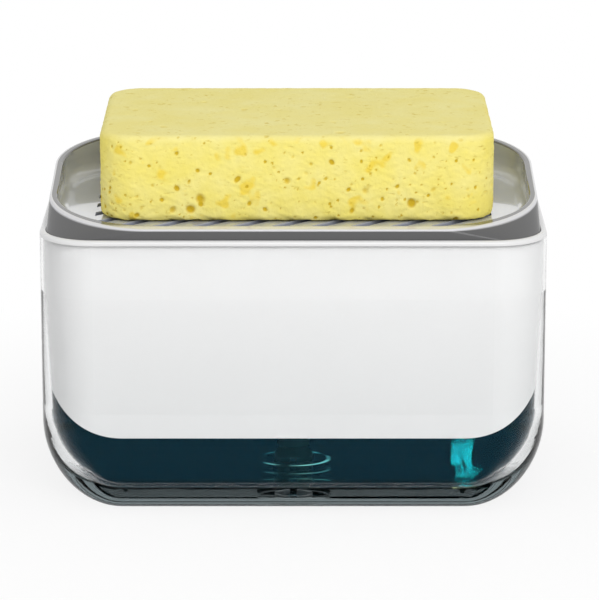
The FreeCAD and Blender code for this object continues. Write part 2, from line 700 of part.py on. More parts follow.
def make_deck():
    """White drip deck: a rim on the sleeve's shoulder, a shallow basin and a well with the pump's neck."""
    body = new_body("deck")
    sketch = sketch_on(body, "XY_Plane", "rim", "deck_base")
    rounded_rectangle(sketch, "deck_width", "deck_depth", "deck_corner")
    pad(body, sketch, "deck_thick")
    sketch = sketch_on(body, "XY_Plane", "basin", "deck_base")
    rounded_rectangle(sketch, "basin_width", "basin_depth", "basin_corner")
    basin = pad(body, sketch, "basin_drop + deck_thick", downward=True)
    round_edges(body, basin, "basin_round", lambda edge: at_height(edge, "basin_floor - deck_thick"))
    sketch = sketch_on(body, "XY_Plane", "well", "basin_floor")
    disc(sketch, "well_diameter")
    pad(body, sketch, "well_drop + deck_thick", downward=True)
    sketch = sketch_on(body, "XY_Plane", "basin_space", "deck_top")
    rounded_rectangle(sketch, "basin_width - 2 * deck_thick", "basin_depth - 2 * deck_thick",
                      "basin_corner - deck_thick")
    space = pocket(body, sketch, "deck_top - basin_floor")
    round_edges(body, space, "basin_round - deck_thick", lambda edge: at_height(edge, "basin_floor"))
    sketch = sketch_on(body, "XY_Plane", "well_space", "basin_floor")
    disc(sketch, "well_diameter - 2 * deck_thick")
    pocket(body, sketch, "well_drop")
    sketch = sketch_on(body, "XY_Plane", "neck", "well_floor")
    disc(sketch, "neck_diameter")
    pad(body, sketch, "neck_rise")
    sketch = sketch_on(body, "XY_Plane", "neck_bore", "neck_top")
    disc(sketch, "neck_diameter - 2 * neck_wall")
    pocket(body, sketch, "neck_rise + deck_thick + overrun")
    return body


def make_deck_seal():
    """Flat gasket between the deck's rim and the sleeve's shoulder."""
    body = new_body("deck_seal")
    sketch = sketch_on(body, "XY_Plane", "plan", "shoulder_top")
    rounded_rectangle(sketch, "deck_width - 2 * seal_inset", "deck_depth - 2 * seal_inset",
                      "deck_corner - seal_inset", "outer")
    rounded_rectangle(sketch, "shoulder_width", "shoulder_depth", "shoulder_corner", "inner")
    pad(body, sketch, "seal_thick")
    return body


def ring(label, bore, outside, low, high):
    """A plain ring about the pump's axis."""
    body = new_body(label)
    inner = f"({bore}) / 2"
    outer = f"({outside}) / 2"
    turn(body, [(inner, low), (outer, low), (outer, high), (inner, high)])
    return body


def around(body, feature, count):
    """Repeats a feature evenly about the pump's axis."""
    pattern = body.newObject("PartDesign::PolarPattern", feature.Name + "_around")
    pattern.Originals = [feature]
    axis = next(item for item in body.Origin.OriginFeatures if item.Role == "Z_Axis")
    pattern.Axis = (axis, [""])
    pattern.Angle = 360
    pattern.Occurrences = count
    body.Tip = pattern
    return pattern


def make_barrel():
    """Pump cylinder: a flange on the neck, a long bore, the inlet valve's seat and a nipple for the tube."""
    body = new_body("pump_barrel")
    turn(body, [("barrel_bore / 2", "barrel_flange_top"), ("neck_diameter / 2", "barrel_flange_top"),
                ("neck_diameter / 2", "barrel_flange_base"), ("barrel_diameter / 2", "barrel_flange_base"),
                ("barrel_diameter / 2", "bore_floor"), ("nipple_diameter / 2", "bore_floor - barrel_base"),
                ("nipple_diameter / 2", "nipple_base"), ("tube_diameter / 2 + socket_fit", "nipple_base"),
                ("tube_diameter / 2 + socket_fit", "tube_top"), ("valve_port / 2", "tube_top"),
                ("valve_port / 2", "port_top"), ("valve_chamber / 2", "chamber_floor"),
                ("valve_chamber / 2", "bore_floor"), ("barrel_bore / 2", "bore_floor")])
    return body


def make_collar():
    """Ring nut over the neck and the barrel's flange, with grip ribs."""
    body = new_body("pump_collar")
    mouth = "guide_flange_diameter / 2 + gasket_gap"
    turn(body, [("collar_bore / 2", "collar_base"), ("collar_diameter / 2", "collar_base"),
                ("collar_diameter / 2", "collar_top"), (mouth, "collar_top"), (mouth, "barrel_flange_top"),
                ("collar_bore / 2", "barrel_flange_top")])
    sketch = sketch_on(body, "XY_Plane", "rib", "collar_base")
    disc(sketch, "2 * collar_rib", across="collar_diameter / 2")
    rib = pad(body, sketch, "collar_drop")
    around(body, rib, COLLAR_RIBS)
    return body


def make_guide():
    """Bush in the barrel's mouth that guides the stem."""
    body = new_body("stem_guide")
    inner = "stem_diameter / 2 + running_fit"
    plug = "barrel_bore / 2 - guide_fit"
    flange = "guide_flange_diameter / 2"
    turn(body, [(inner, "guide_base"), (plug, "guide_base"), (plug, "barrel_flange_top"),
                (flange, "barrel_flange_top"), (flange, "guide_top"), (inner, "guide_top")])
    return body


def make_spring_seat():
    """Disc over the inlet valve that keeps the ball in and carries the spring, with a ring of flow ports."""
    body = ring("spring_seat", "spring_seat_hole", "barrel_bore - 2 * spring_seat_fit",
                "bore_floor", "spring_base")
    sketch = sketch_on(body, "XY_Plane", "port", "spring_base")
    disc(sketch, "seat_port_diameter", across="seat_port_circle / 2")
    port = pocket(body, sketch, "spring_seat_thick + overrun")
    around(body, port, SEAT_PORTS)
    return body


def make_foot():
    """Slotted suction foot on the end of the dip tube."""
    body = new_body("suction_foot")
    socket = "tube_diameter / 2 + socket_fit"
    inner = "foot_diameter / 2 - foot_wall"
    outer = "foot_diameter / 2"
    turn(body, [(socket, "tube_base"), (inner, "tube_base"), (inner, "foot_base"), (outer, "foot_base"),
                (outer, "tube_base"), (inner, "foot_top"), (socket, "foot_top")])
    sketch = sketch_on(body, "XY_Plane", "slot", "foot_base")
    closed_outline(sketch, [("0", "-foot_slot / 2"), ("foot_diameter", "-foot_slot / 2"),
                            ("foot_diameter", "foot_slot / 2"), ("0", "foot_slot / 2")])
    slot = pocket(body, sketch, "foot_chamber", upward=True)
    around(body, slot, FOOT_SLOTS)
    return body


def make_stem():
    """Hollow stem: a head under the piston, and the outlet valve's seat and chamber in its top."""
    body = new_body("piston_stem")
    turn(body, [("stem_bore / 2", "stem_base"), ("stem_head_diameter / 2", "stem_base"),
                ("stem_head_diameter / 2", "piston_base"), ("stem_diameter / 2", "piston_base"),
                ("stem_diameter / 2", "stem_top"), ("outlet_chamber / 2", "stem_top"),
                ("outlet_chamber / 2", "outlet_floor"), ("stem_bore / 2", "outlet_floor - outlet_drop")])
    return body


def make_piston():
    """Piston with a sealing lip at each end and a waist between them."""
    body = new_body("piston")
    inner = "stem_diameter / 2 + socket_fit"
    outer = "barrel_bore / 2 - running_fit"
    waist = outer + " - piston_waist"
    turn(body, [(inner, "piston_base"), (outer, "piston_base"), (outer, "piston_base + piston_lip"),
                (waist, "piston_base + piston_lip + piston_waist"),
                (waist, "piston_top - piston_lip - piston_waist"), (outer, "piston_top - piston_lip"),
                (outer, "piston_top"), (inner, "piston_top")])
    return body


def make_nozzle():
    """Outlet insert, flush with the tray's floor."""
    body = new_body("outlet_nozzle")
    plug = "nozzle_plug_diameter / 2 - nozzle_fit"
    flange = "nozzle_diameter / 2 - nozzle_fit"
    turn(body, [("nozzle_bore / 2", "socket_end"), (plug, "socket_end"), (plug, "nozzle_seat"),
                (flange, "nozzle_seat"), (flange, "tray_floor_top"), ("nozzle_bore / 2", "tray_floor_top")])
    return body


def ball(label, diameter, cone_tip):
    """A check ball that rests in a seat of 45 degrees whose tip lies at the given height."""
    sphere = doc.addObject("Part::Sphere", label)
    sphere.Label = label
    sphere.setExpression("Radius", bound(f"{diameter} / 2"))
    sphere.setExpression("Placement.Base.z", bound(f"{cone_tip} + ({diameter} / 2 + seat_gap) * sqrt(2)"))
    return sphere


def arc_pair(start, start_tangent, end, end_tangent):
    """Two arcs that leave one point along its tangent and reach another along its own."""
    chord = end - start
    both = start_tangent + end_tangent
    spread = both.dot(both) - 4
    along = chord.dot(both)
    reach = (along - math.sqrt(along ** 2 - spread * chord.dot(chord))) / spread
    first_knee = start + start_tangent * reach
    second_knee = end - end_tangent * reach
    joint = (first_knee + second_knee) / 2
    arcs = []
    for near, knee, far in ((start, first_knee, joint), (joint, second_knee, end)):
        half_turn = (knee - near).getAngle(far - knee) / 2
        inward = ((near + far) / 2 - knee).normalize()
        crown = knee + inward * (reach * math.tan(half_turn / 2))
        arcs.append(Part.Arc(near, crown, far).toShape())
    return arcs


def make_spring():
    """Coil spring from its seat to the stem's head: a round wire along a helix of quarter turns."""
    radius = value("spring_diameter / 2")
    wire = value("spring_wire")
    low = value("spring_base + spring_wire / 2 + spring_clear")
    high = value("stem_base - spring_wire / 2 - spring_clear")
    pitch = (high - low) / SPRING_TURNS
    quarters = SPRING_TURNS * SPRING_QUARTERS

    def helix_point(turns):
        angle = 2 * math.pi * turns
        return Vector(radius * math.cos(angle), radius * math.sin(angle), low + pitch * turns)

    def helix_tangent(turns):
        angle = 2 * math.pi * turns
        slope = Vector(-math.sin(angle), math.cos(angle), pitch / (2 * math.pi * radius))
        return slope.normalize()

    edges = []
    for quarter in range(quarters):
        start = quarter / SPRING_QUARTERS
        end = (quarter + 1) / SPRING_QUARTERS
        edges += arc_pair(helix_point(start), helix_tangent(start), helix_point(end), helix_tangent(end))
    section = Part.Wire([Part.Circle(helix_point(0), helix_tangent(0), wire / 2).toShape()])
    coil = doc.addObject("Part::Feature", "return_spring")
    coil.Label = "return_spring"
    coil.Shape = Part.Wire(edges).makePipeShell([section], True, False)
    coil.Placement = Placement()
    samples = [helix_point(index / (SPRING_QUARTERS * SPRING_QUARTERS))
               for index in range(quarters * SPRING_QUARTERS + 1)]
    half_turn = SPRING_QUARTERS * SPRING_QUARTERS // 2
    least = min(first.distanceToPoint(second) for index, first in enumerate(samples)
                for second in samples[index + half_turn:])
    print(f"return_spring: least gap to itself {least - wire:.3f} mm")
    return coil


def make_sponge():
    """Plain sponge block with eased corners and edges, lying on the tray's floor a little to one side."""
    body = new_body("sponge")
    sketch = sketch_on(body, "XY_Plane", "plan", "sponge_base")
    sketch.setExpression("AttachmentOffset.Base.x", bound("sponge_shift"))
    rounded_rectangle(sketch, "sponge_width", "sponge_depth", "sponge_corner")
    block = pad(body, sketch, "sponge_height")
    round_edges(body, block, "sponge_edge",
                lambda edge: at_height(edge, "sponge_base") or at_height(edge, "sponge_base + sponge_height"))
    return body


pieces = [
    make_tank(),
    make_sleeve(),
    make_soap(),
    make_tray(),
    make_deck(),
    make_deck_seal(),
    make_barrel(),
    ring("collar_gasket", "barrel_diameter + 2 * gasket_gap", "neck_diameter - 2 * gasket_gap",
         "neck_top", "barrel_flange_base"),
    make_collar(),
    make_guide(),
    make_spring_seat(),
    make_spring(),
    ring("dip_tube", "tube_bore", "tube_diameter", "tube_base", "tube_top"),
    make_foot(),
    ball("inlet_ball", "inlet_ball_diameter", "port_top - valve_port / 2"),
    make_stem(),
    make_piston(),
    ball("outlet_ball", "outlet_ball_diameter", "outlet_floor - outlet_drop - stem_bore / 2"),
    ring("stem_seal", "outlet_chamber", "stem_diameter - 2 * socket_fit", "stem_top", "socket_end"),
    make_nozzle(),
    make_sponge(),
]
doc.recompute()

for item in doc.Objects:
    if "Invalid" in item.State or "Error" in item.State:
        raise RuntimeError(item.Name + " failed: " + item.getStatusString())
for piece in pieces:
    if piece.Shape.isNull() or not piece.Shape.isValid():
        raise RuntimeError(piece.Label + " has no valid shape")

os.makedirs("parts", exist_ok=True)
for piece in pieces:
    piece.Shape.exportStep("parts/" + piece.Label + ".step")
    print(f"{piece.Label}: {len(piece.Shape.Solids)} solid, {piece.Shape.Volume:.1f} mm3")
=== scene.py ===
"""Looks of the soap pump caddy: clear tank, white sleeve, grey press tray, soap, sponge and pump.

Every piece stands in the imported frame, in metres, with +Z up and the front towards -Y.
"""

import math

import bmesh
import bpy
import numpy as np
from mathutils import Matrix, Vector


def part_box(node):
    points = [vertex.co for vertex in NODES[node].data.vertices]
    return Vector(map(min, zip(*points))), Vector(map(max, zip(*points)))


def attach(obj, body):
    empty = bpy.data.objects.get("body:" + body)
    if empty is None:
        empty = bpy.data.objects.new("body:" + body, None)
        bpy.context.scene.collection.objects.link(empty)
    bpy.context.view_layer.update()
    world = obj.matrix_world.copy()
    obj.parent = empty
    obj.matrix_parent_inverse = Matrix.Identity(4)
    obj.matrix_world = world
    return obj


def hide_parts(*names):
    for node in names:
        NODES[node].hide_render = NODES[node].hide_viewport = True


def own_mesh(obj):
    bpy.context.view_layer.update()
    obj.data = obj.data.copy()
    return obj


bl_info = {
    "name": "Soap pump caddy looks",
    "version": (1, 0, 0),
    "blender": (4, 5, 0),
    "location": "View3D > Sidebar > Caddy",
    "description": "Dresses the packed soap pump caddy and sets its studio",
    "category": "Object",
}

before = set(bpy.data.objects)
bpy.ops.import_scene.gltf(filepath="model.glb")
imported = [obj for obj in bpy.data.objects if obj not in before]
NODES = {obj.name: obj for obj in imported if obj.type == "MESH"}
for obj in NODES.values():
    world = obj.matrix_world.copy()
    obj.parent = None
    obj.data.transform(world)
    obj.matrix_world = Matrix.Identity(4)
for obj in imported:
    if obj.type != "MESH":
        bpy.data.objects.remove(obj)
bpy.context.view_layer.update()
SENSOR_WIDTH = 36.0
MM = 0.001
MERGE_DISTANCE = 1e-7
WELD_DISTANCE = 1e-6
BLACK = (0.0, 0.0, 0.0, 1.0)
WHITE = (1.0, 1.0, 1.0, 1.0)


# Values that the sidebar shows

def setting(name, description, default, **kind):
    """A property of one number, or of three where the default has three."""
    make = bpy.props.FloatVectorProperty if isinstance(default, tuple) else bpy.props.FloatProperty
    return make(name=name, description=description, default=default, **kind)


def colour_value(name, description, default):
    return setting(name, description, default, subtype="COLOR")


def length_value(name, description, default):
    return setting(name, description, default, unit="LENGTH")


# Shader expressions

class Flow:
    """One output of a material's nodes; sums on it become Math nodes."""

    def __init__(self, graph, socket):
        self.graph = graph
        self.socket = socket

    def maths(self, operation, first, second=0.0):
        return self.graph.node("ShaderNodeMath", {"operation": operation}, {0: first, 1: second})

    def __add__(self, other):
        return self.maths("ADD", self, other)

    def __radd__(self, other):
        return self.maths("ADD", other, self)

    def __sub__(self, other):
        return self.maths("SUBTRACT", self, other)

    def __rsub__(self, other):
        return self.maths("SUBTRACT", other, self)

    def __mul__(self, other):
        return self.maths("MULTIPLY", self, other)

    def __rmul__(self, other):
        return self.maths("MULTIPLY", other, self)

    def at_most(self, other):
        return self.maths("MINIMUM", self, other)

    def at_least(self, other):
        return self.maths("MAXIMUM", self, other)


class Graph:
    """The node tree of one material or world."""

    def __init__(self, owner):
        owner.use_nodes = True
        self.owner = owner
        self.tree = owner.node_tree
        self.tree.nodes.clear()

    def node(self, kind, settings=None, sockets=None, output=0):
        """Adds a node: its settings first, then its sockets' values or links; gives one of its outputs."""
        made = self.tree.nodes.new(kind)
        for name, setting in (settings or {}).items():
            if name == "stops":
                self.set_stops(made.color_ramp, setting)
            else:
                setattr(made, name, setting)
        for key, given in (sockets or {}).items():
            if isinstance(given, Flow):
                self.tree.links.new(given.socket, made.inputs[key])
            else:
                made.inputs[key].default_value = given
        return Flow(self, made.outputs[output]) if made.outputs else None

    @staticmethod
    def set_stops(ramp, stops):
        """Puts a ramp's stops, given as (place, grey) pairs."""
        while len(ramp.elements) < len(stops):
            ramp.elements.new(1.0)
        for element, (place, grey) in zip(ramp.elements, stops):
            element.position = place
            element.color = (grey, grey, grey, 1.0)

    def place(self):
        """Object coordinates, in metres."""
        return self.node("ShaderNodeTexCoord", output="Object")

    def vector(self, operation, first, second=(0.0, 0.0, 0.0), output="Vector"):
        """Maths on whole vectors."""
        return self.node("ShaderNodeVectorMath", {"operation": operation}, {0: first, 1: second}, output)

    def squeezed(self, shares):
        """Object coordinates times a share for each axis, which stretches patterns along small ones."""
        return self.vector("MULTIPLY", self.place(), shares)

    def axis(self, name):
        """One object coordinate, in metres."""
        return self.node("ShaderNodeSeparateXYZ", None, {"Vector": self.place()}, name)

    def attribute(self, name):
        """A value kept on the piece's own points."""
        return self.node("ShaderNodeAttribute", {"attribute_name": name}, output="Fac")

    def noise(self, size, detail=2.0, place=None):
        """Noise whose features are about the given size in metres."""
        sockets = {"Vector": place or self.place(), "Scale": 1.0 / size, "Detail": detail}
        return self.node("ShaderNodeTexNoise", None, sockets, "Fac")

    def ramp(self, factor, *stops):
        """A grey ramp through (place, grey) stops."""
        return self.node("ShaderNodeValToRGB", {"stops": stops}, {"Fac": factor})

    def rise(self, factor, span):
        """0 up to the span's start and 1 from its end on."""
        start, end = span
        return self.ramp(factor, (start, 0.0), (end, 1.0))

    def fall(self, factor, span):
        """1 up to the span's start and 0 from its end on."""
        start, end = span
        return self.ramp(factor, (start, 1.0), (end, 0.0))

    def mix(self, factor, first, second):
        """A colour between two others."""
        return self.node("ShaderNodeMix", {"data_type": "RGBA"}, {0: factor, 6: first, 7: second}, 2)

    def bump(self, height, depth, strength=1.0):
        """A bent normal from a height of 0 to 1 that stands for the given depth in metres."""
        sockets = {"Height": height, "Distance": depth, "Strength": strength}
        return self.node("ShaderNodeBump", None, sockets)

    def principled(self, **named):
        """The main shader; socket names are written with underscores."""
        sockets = {name.replace("_", " "): given for name, given in named.items()}
        return self.node("ShaderNodeBsdfPrincipled", None, sockets)

    def finish(self, surface, volume=None):
        sockets = {"Surface": surface}
        if volume is not None:
            sockets["Volume"] = volume
        self.node("ShaderNodeOutputMaterial", None, sockets)
        return self.owner


def new_graph(name):
    return Graph(bpy.data.materials.new(name))


def rgba(colour):
    return (*colour, 1.0)


# Finishes

# Detail of the noise in clouds, in single blots and in fine grain
CLOUD_DETAIL = 3.0
BLOT_DETAIL = 1.0
FINE_DETAIL = 4.0
# Roughness that clouds add to a polished face
CLOUD_ROUGHNESS = 0.06

# Shares of the wet height over which the wetted part ends, and millimetres by which a face looks inwards
WET_FADE_SHARES = (0.45, 1.0)
WET_TURN = (0.0, 0.1)


def clear_plastic(look):
    """Clear moulded plastic with a faint flow wave, which turns grey where light runs far inside it.
    Low faces that look towards the tank's middle are wetted by the soap, so light passes from the floor
    into the soap. Shadow rays pass straight through it."""
    graph = new_graph("clear_plastic")
    wave = graph.bump(graph.noise(look.wave_size), look.wave_depth)
    dry = graph.principled(
        Base_Color=rgba(look.tint), Roughness=0.0, IOR=look.ior, Transmission_Weight=1.0,
        Specular_Tint=rgba(look.gloss), Normal=wave)
    wet = graph.principled(
        Base_Color=rgba(look.tint), Roughness=0.0, IOR=look.wet_ior, Transmission_Weight=1.0)
    turned = graph.node("ShaderNodeNewGeometry", output="Backfacing")
    normal = graph.node("ShaderNodeNewGeometry", output="True Normal")
    outward = graph.vector("SUBTRACT", graph.place(), tuple(look.middle))
    facing = graph.vector("DOT_PRODUCT", normal, outward, "Value") * (1.0 - 2.0 * turned)
    low_down = graph.fall(graph.axis("Z") * (1 / look.wet_height), WET_FADE_SHARES)
    wetted = graph.rise(facing * (-1 / MM), WET_TURN) * low_down
    body = graph.node("ShaderNodeMixShader", None, {0: wetted, 1: dry, 2: wet})
    through = graph.node("ShaderNodeBsdfTransparent", None, {"Color": rgba(look.tint)})
    rays = graph.node("ShaderNodeLightPath", output="Is Shadow Ray")
    shadow = graph.node("ShaderNodeMixShader", None, {0: rays, 1: body, 2: through})
    grey = graph.node("ShaderNodeVolumeAbsorption", None,
                      {"Color": rgba(look.depth_colour), "Density": look.depth_density})
    return graph.finish(shadow, grey)


def white_plastic(look):
    """Glossy white moulded plastic with a fine mould grain and a little unevenness in its gloss."""
    graph = new_graph("white_plastic")
    cloud = graph.noise(look.cloud_size, CLOUD_DETAIL)
    shade = tuple(channel * look.shade_share for channel in look.colour)
    grain = graph.bump(graph.noise(look.grain_size), look.grain_depth)
    return graph.finish(graph.principled(
        Base_Color=graph.mix(cloud, rgba(look.colour), rgba(shade)),
        Roughness=look.roughness + CLOUD_ROUGHNESS * cloud,
        Coat_Weight=look.coat, Coat_Roughness=look.coat_roughness, Normal=grain))


# Shares of each axis that leave the height out
FROM_ABOVE = (1.0, 1.0, 0.0)


def outline_reach(graph, half_x, half_y, corner):
    """Distance from a rounded rectangle, seen from above: the length of what lies beyond the corners'
    middles, less their radius. It is negative inside."""
    middle = (half_x - corner, half_y - corner, 0.0)
    beyond = graph.vector("SUBTRACT", graph.vector("ABSOLUTE", graph.squeezed(FROM_ABOVE)), middle)
    return graph.vector("LENGTH", graph.vector("MAXIMUM", beyond), output="Value") - corner


# Shares of the rim line's height and width, and of the half depth, over which the tray's parts begin: the
# rim line is a painted highlight and the outside takes painted shade
RIM_TOP_SHARES = (0.0, 0.5)
RIM_EDGE_SHARES = (0.0, 0.3)
OUTSIDE_SHARES = (0.4, 0.8)
FRONT_SHARES = (0.90, 0.95)
# Painted light on the floor over the height of its blend, which starts a little under the floor and fades
# up the walls
FLOOR_LEAD_SHARE = 0.1
FLOOR_LIGHT_STOPS = ((0.0, 0.0), (0.08, 1.0), (0.25, 1.0), (1.0, 0.0))


def smoke_plastic(look):
    """Polished grey plastic with painted light and shade: a floor painted lighter as if lit from above,
    with that painted light fading up the grey walls inside, outer walls painted darker as shade, and a
    rounded rim whose outer edge has a painted highlight as a pale line. The floor is told by its height,
    the rim by the height above its slanted plane, and the outside by the distance to the rim's outline, a
    rounded rectangle."""
    graph = new_graph("smoke_plastic")
    cloud = graph.noise(look.cloud_size, CLOUD_DETAIL)
    grain = graph.bump(graph.noise(look.grain_size), look.grain_depth)
    low, high = box_of("press_tray")
    half_x, half_y = ((high - low) / 2)[:2]
    slope = (look.rim_back - look.rim_front) / (2 * half_y)
    middle = (look.rim_back + look.rim_front) / 2
    height = graph.axis("Z")
    above_rim = height - slope * graph.axis("Y") - (middle - look.rim_line)
    near_rim = graph.rise(above_rim * (1 / look.rim_line), RIM_TOP_SHARES)
    reach = outline_reach(graph, half_x, half_y, look.rim_corner)
    front = graph.rise(graph.axis("Y") * float(-1 / half_y), FRONT_SHARES)
    # Painted highlight: a pale line along the rim's outer edge, widened at the front
    highlight_edge = graph.rise(1.0 + reach * (1 / look.rim_width), RIM_EDGE_SHARES).at_least(front)
    # Painted shade on the outer walls, told by their distance to the rim's outline
    outside = graph.rise(1.0 + reach * (1 / look.rim_line), OUTSIDE_SHARES)
    above_floor = (height - look.floor_height) * (1 / look.floor_blend)
    painted_floor_light = graph.ramp(above_floor + FLOOR_LEAD_SHARE, *FLOOR_LIGHT_STOPS)
    inner = graph.mix(painted_floor_light, rgba(look.wall_colour), rgba(look.floor_lit_colour))
    body = graph.mix(outside.at_least(near_rim), inner, rgba(look.outer_shade_colour))
    return graph.finish(graph.principled(
        Base_Color=graph.mix(near_rim * highlight_edge, body, rgba(look.rim_highlight_colour)),
        Roughness=look.roughness + CLOUD_ROUGHNESS * cloud, IOR=look.ior,
        Coat_Weight=1.0 - look.coat_loss * outside, Coat_Roughness=look.coat_roughness,
        Specular_IOR_Level=look.specular, Normal=grain))


# The painted glint round the sump, a ring that gives off its own light though no lamp lights it: squared
# share of its width, share of its width above the base, and noise
RING_SPAN = (0.0, 1.0)
RING_HEIGHT_SHARES = (0.3, 0.6)
RING_BREAKS = (0.42, 0.62)


def soap_liquid(look):
    """Slightly cloudy coloured liquid that grows darker with the depth of soap that light crosses.
    Round the sump, where its underside bends, a painted glint: a broken ring that gives off its own light,
    seen from inside the soap, though no lamp lights it there."""
    graph = new_graph("liquid_soap")
    ripple = graph.bump(graph.noise(look.ripple_size), look.ripple_depth)
    radius = graph.vector("LENGTH", graph.squeezed(FROM_ABOVE), output="Value")
    off_ring = (radius - look.ring_radius) * (1 / look.ring_width)
    ring = graph.fall(off_ring * off_ring, RING_SPAN)
    low = box_of("liquid_soap")[0]
    above_base = graph.axis("Z") - float(low[2])
    at_base = graph.fall(above_base * (1 / look.ring_width), RING_HEIGHT_SHARES)
    broken = graph.rise(graph.noise(look.ring_radius, BLOT_DETAIL), RING_BREAKS)
    from_within = graph.node("ShaderNodeNewGeometry", output="Backfacing")
    # Painted glint: emission in a broken ring round the sump, seen only from inside the soap
    glint = ring * at_base * broken * from_within
    surface = graph.principled(
        Base_Color=rgba(look.cloud_colour), Roughness=0.0, IOR=look.ior,
        Transmission_Weight=look.clear_share, Specular_Tint=rgba(look.gloss),
        Emission_Color=graph.mix(glint, BLACK, rgba(look.painted_glint_colour)),
        Emission_Strength=look.painted_glint_strength, Normal=ripple)
    volume = graph.node("ShaderNodeVolumeAbsorption", None,
                        {"Color": rgba(look.colour), "Density": look.density})
    return graph.finish(surface, volume)


# Noise at which patches, flecks, the areas that have flecks, and blotches begin and are full
PATCH_SPAN = (0.35, 0.7)
FLECK_SPAN = (0.60, 0.72)
FLECK_AREA_SPAN = (0.40, 0.62)
BLOTCH_SPAN = (0.62, 0.70)
# Share of the patches' size that the areas with flecks have
FLECK_AREA_SHARE = 0.6
# Opening and depth of pores, as shares of the most, at which their painted shade begins and is full
PORE_SHARES = (0.10, 0.60)
DEEP_SHARES = (0.60, 1.0)
FOAM_ROUGHNESS = 0.95
FOAM_SPECULAR = 0.15
# Roughness that the grain takes off, and share of the grain's depth that flecks are sunk
GRAIN_ROUGHNESS = 0.1
FLECK_DEPTH_SHARE = 0.5


def foam(look):
    """Cellulose foam: a smooth greyer skin on top, warm cut sides, and fine drawn-out flecks in patches.
    Painted shade in the pores: golden where they open and dark in the deepest; the flecks take the same
    golden colour."""
    graph = new_graph("sponge_foam")
    pore = graph.attribute("pore")
    deep = graph.attribute("deep")
    skin = graph.attribute("skin")
    patch = graph.rise(graph.noise(look.patch_size, CLOUD_DETAIL), PATCH_SPAN)
    drawn = graph.squeezed(look.fleck_stretch)
    fleck = graph.rise(graph.noise(look.fleck_size, place=drawn), FLECK_SPAN)
    area = graph.rise(graph.noise(look.patch_size * FLECK_AREA_SHARE), FLECK_AREA_SPAN)
    marks = fleck * area
    side = graph.mix(patch, rgba(look.side), rgba(look.side_pale))
    top = graph.mix(patch, rgba(look.top), rgba(look.top_pale))
    plain = graph.mix(skin, side, top)
    blotch = graph.rise(graph.noise(look.blotch_size, BLOT_DETAIL), BLOTCH_SPAN) * (1.0 - skin)
    stained = graph.mix(blotch * look.blotch_strength, plain, rgba(look.blotch))
    flecked = graph.mix(marks * look.fleck_strength, stained, rgba(look.pore))
    # Painted shade: pores golden by their opening, and dark by their depth
    golden = graph.mix(graph.rise(pore, PORE_SHARES), flecked, rgba(look.pore))
    colour = graph.mix(graph.rise(deep, DEEP_SHARES), golden, rgba(look.deep_pore_shade))
    fuzz = graph.noise(look.grain_size, FINE_DETAIL)
    relief = graph.bump(fuzz - FLECK_DEPTH_SHARE * marks, look.grain_depth)
    return graph.finish(graph.principled(
        Base_Color=colour, Roughness=FOAM_ROUGHNESS - GRAIN_ROUGHNESS * fuzz,
        Specular_IOR_Level=FOAM_SPECULAR, Normal=relief))


# Clouds and mould grain of unpolished plastic
PLASTIC_CLOUD = 6 * MM
PLASTIC_SHADE_SHARE = 0.93
PLASTIC_CLOUD_ROUGHNESS = 0.08
PLASTIC_GRAIN = 0.4 * MM
PLASTIC_GRAIN_DEPTH = 0.01 * MM


def plain_plastic(name, colour, roughness):
    """Unpolished moulded plastic or rubber for the pump's inner pieces."""
    graph = new_graph(name)
    cloud = graph.noise(PLASTIC_CLOUD, CLOUD_DETAIL)
    shade = tuple(channel * PLASTIC_SHADE_SHARE for channel in colour)
    return graph.finish(graph.principled(
        Base_Color=graph.mix(cloud, rgba(colour), rgba(shade)),
        Roughness=roughness + PLASTIC_CLOUD_ROUGHNESS * cloud,
        Normal=graph.bump(graph.noise(PLASTIC_GRAIN), PLASTIC_GRAIN_DEPTH)))


# Fine marks in steel
STEEL_MARK = 0.3 * MM
STEEL_MARK_DEPTH = 0.004 * MM
STEEL_MARK_ROUGHNESS = 0.1


def steel(name, colour, roughness):
    """Bare steel with fine marks."""
    graph = new_graph(name)
    marks = graph.noise(STEEL_MARK, FINE_DETAIL)
    return graph.finish(graph.principled(
        Base_Color=rgba(colour), Metallic=1.0, Roughness=roughness + STEEL_MARK_ROUGHNESS * marks,
        Normal=graph.bump(marks, STEEL_MARK_DEPTH)))


# Meshes from arrays

def grid_faces(rows, columns):
    """Corner numbers of the quads of a grid whose columns close on themselves."""
    row, column = np.meshgrid(np.arange(rows - 1), np.arange(columns), indexing="ij")
    following = (column + 1) % columns
    corners = (row * columns + column, row * columns + following,
               (row + 1) * columns + following, (row + 1) * columns + column)
    return np.stack(corners, axis=-1).reshape(-1, 4)


def piece_from(name, points, faces, material, body):
    """A smooth mesh piece that rides on a body."""
    mesh = bpy.data.meshes.new(name)
    mesh.from_pydata(points.tolist(), [], faces.tolist())
    mesh.materials.append(material)
    piece = bpy.data.objects.new(name, mesh)
    bpy.context.scene.collection.objects.link(piece)
    mesh.shade_smooth()
    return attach(piece, body)


def keep_on_points(piece, name, values):
    """Keeps one value for each point on the mesh, for its finish to read."""
    attribute = piece.data.attributes.new(name, "FLOAT", "POINT")
    attribute.data.foreach_set("value", values.astype(np.float32))


def merge_points(piece):
    """Merges the points that lie on each other, which closes seams and collapsed rows."""
    shell = bmesh.new()
    shell.from_mesh(piece.data)
    bmesh.ops.remove_doubles(shell, verts=shell.verts, dist=MERGE_DISTANCE)
    shell.to_mesh(piece.data)
    shell.free()


def dress(node, material):
    """Gives a carried-over node its finish."""
    slots = NODES[node].data.materials
    slots.clear()
    slots.append(material)


def box_of(node):
    """Lowest and highest corner of a node's solid."""
    low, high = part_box(node)
    return np.array(low), np.array(high)


# Sponge

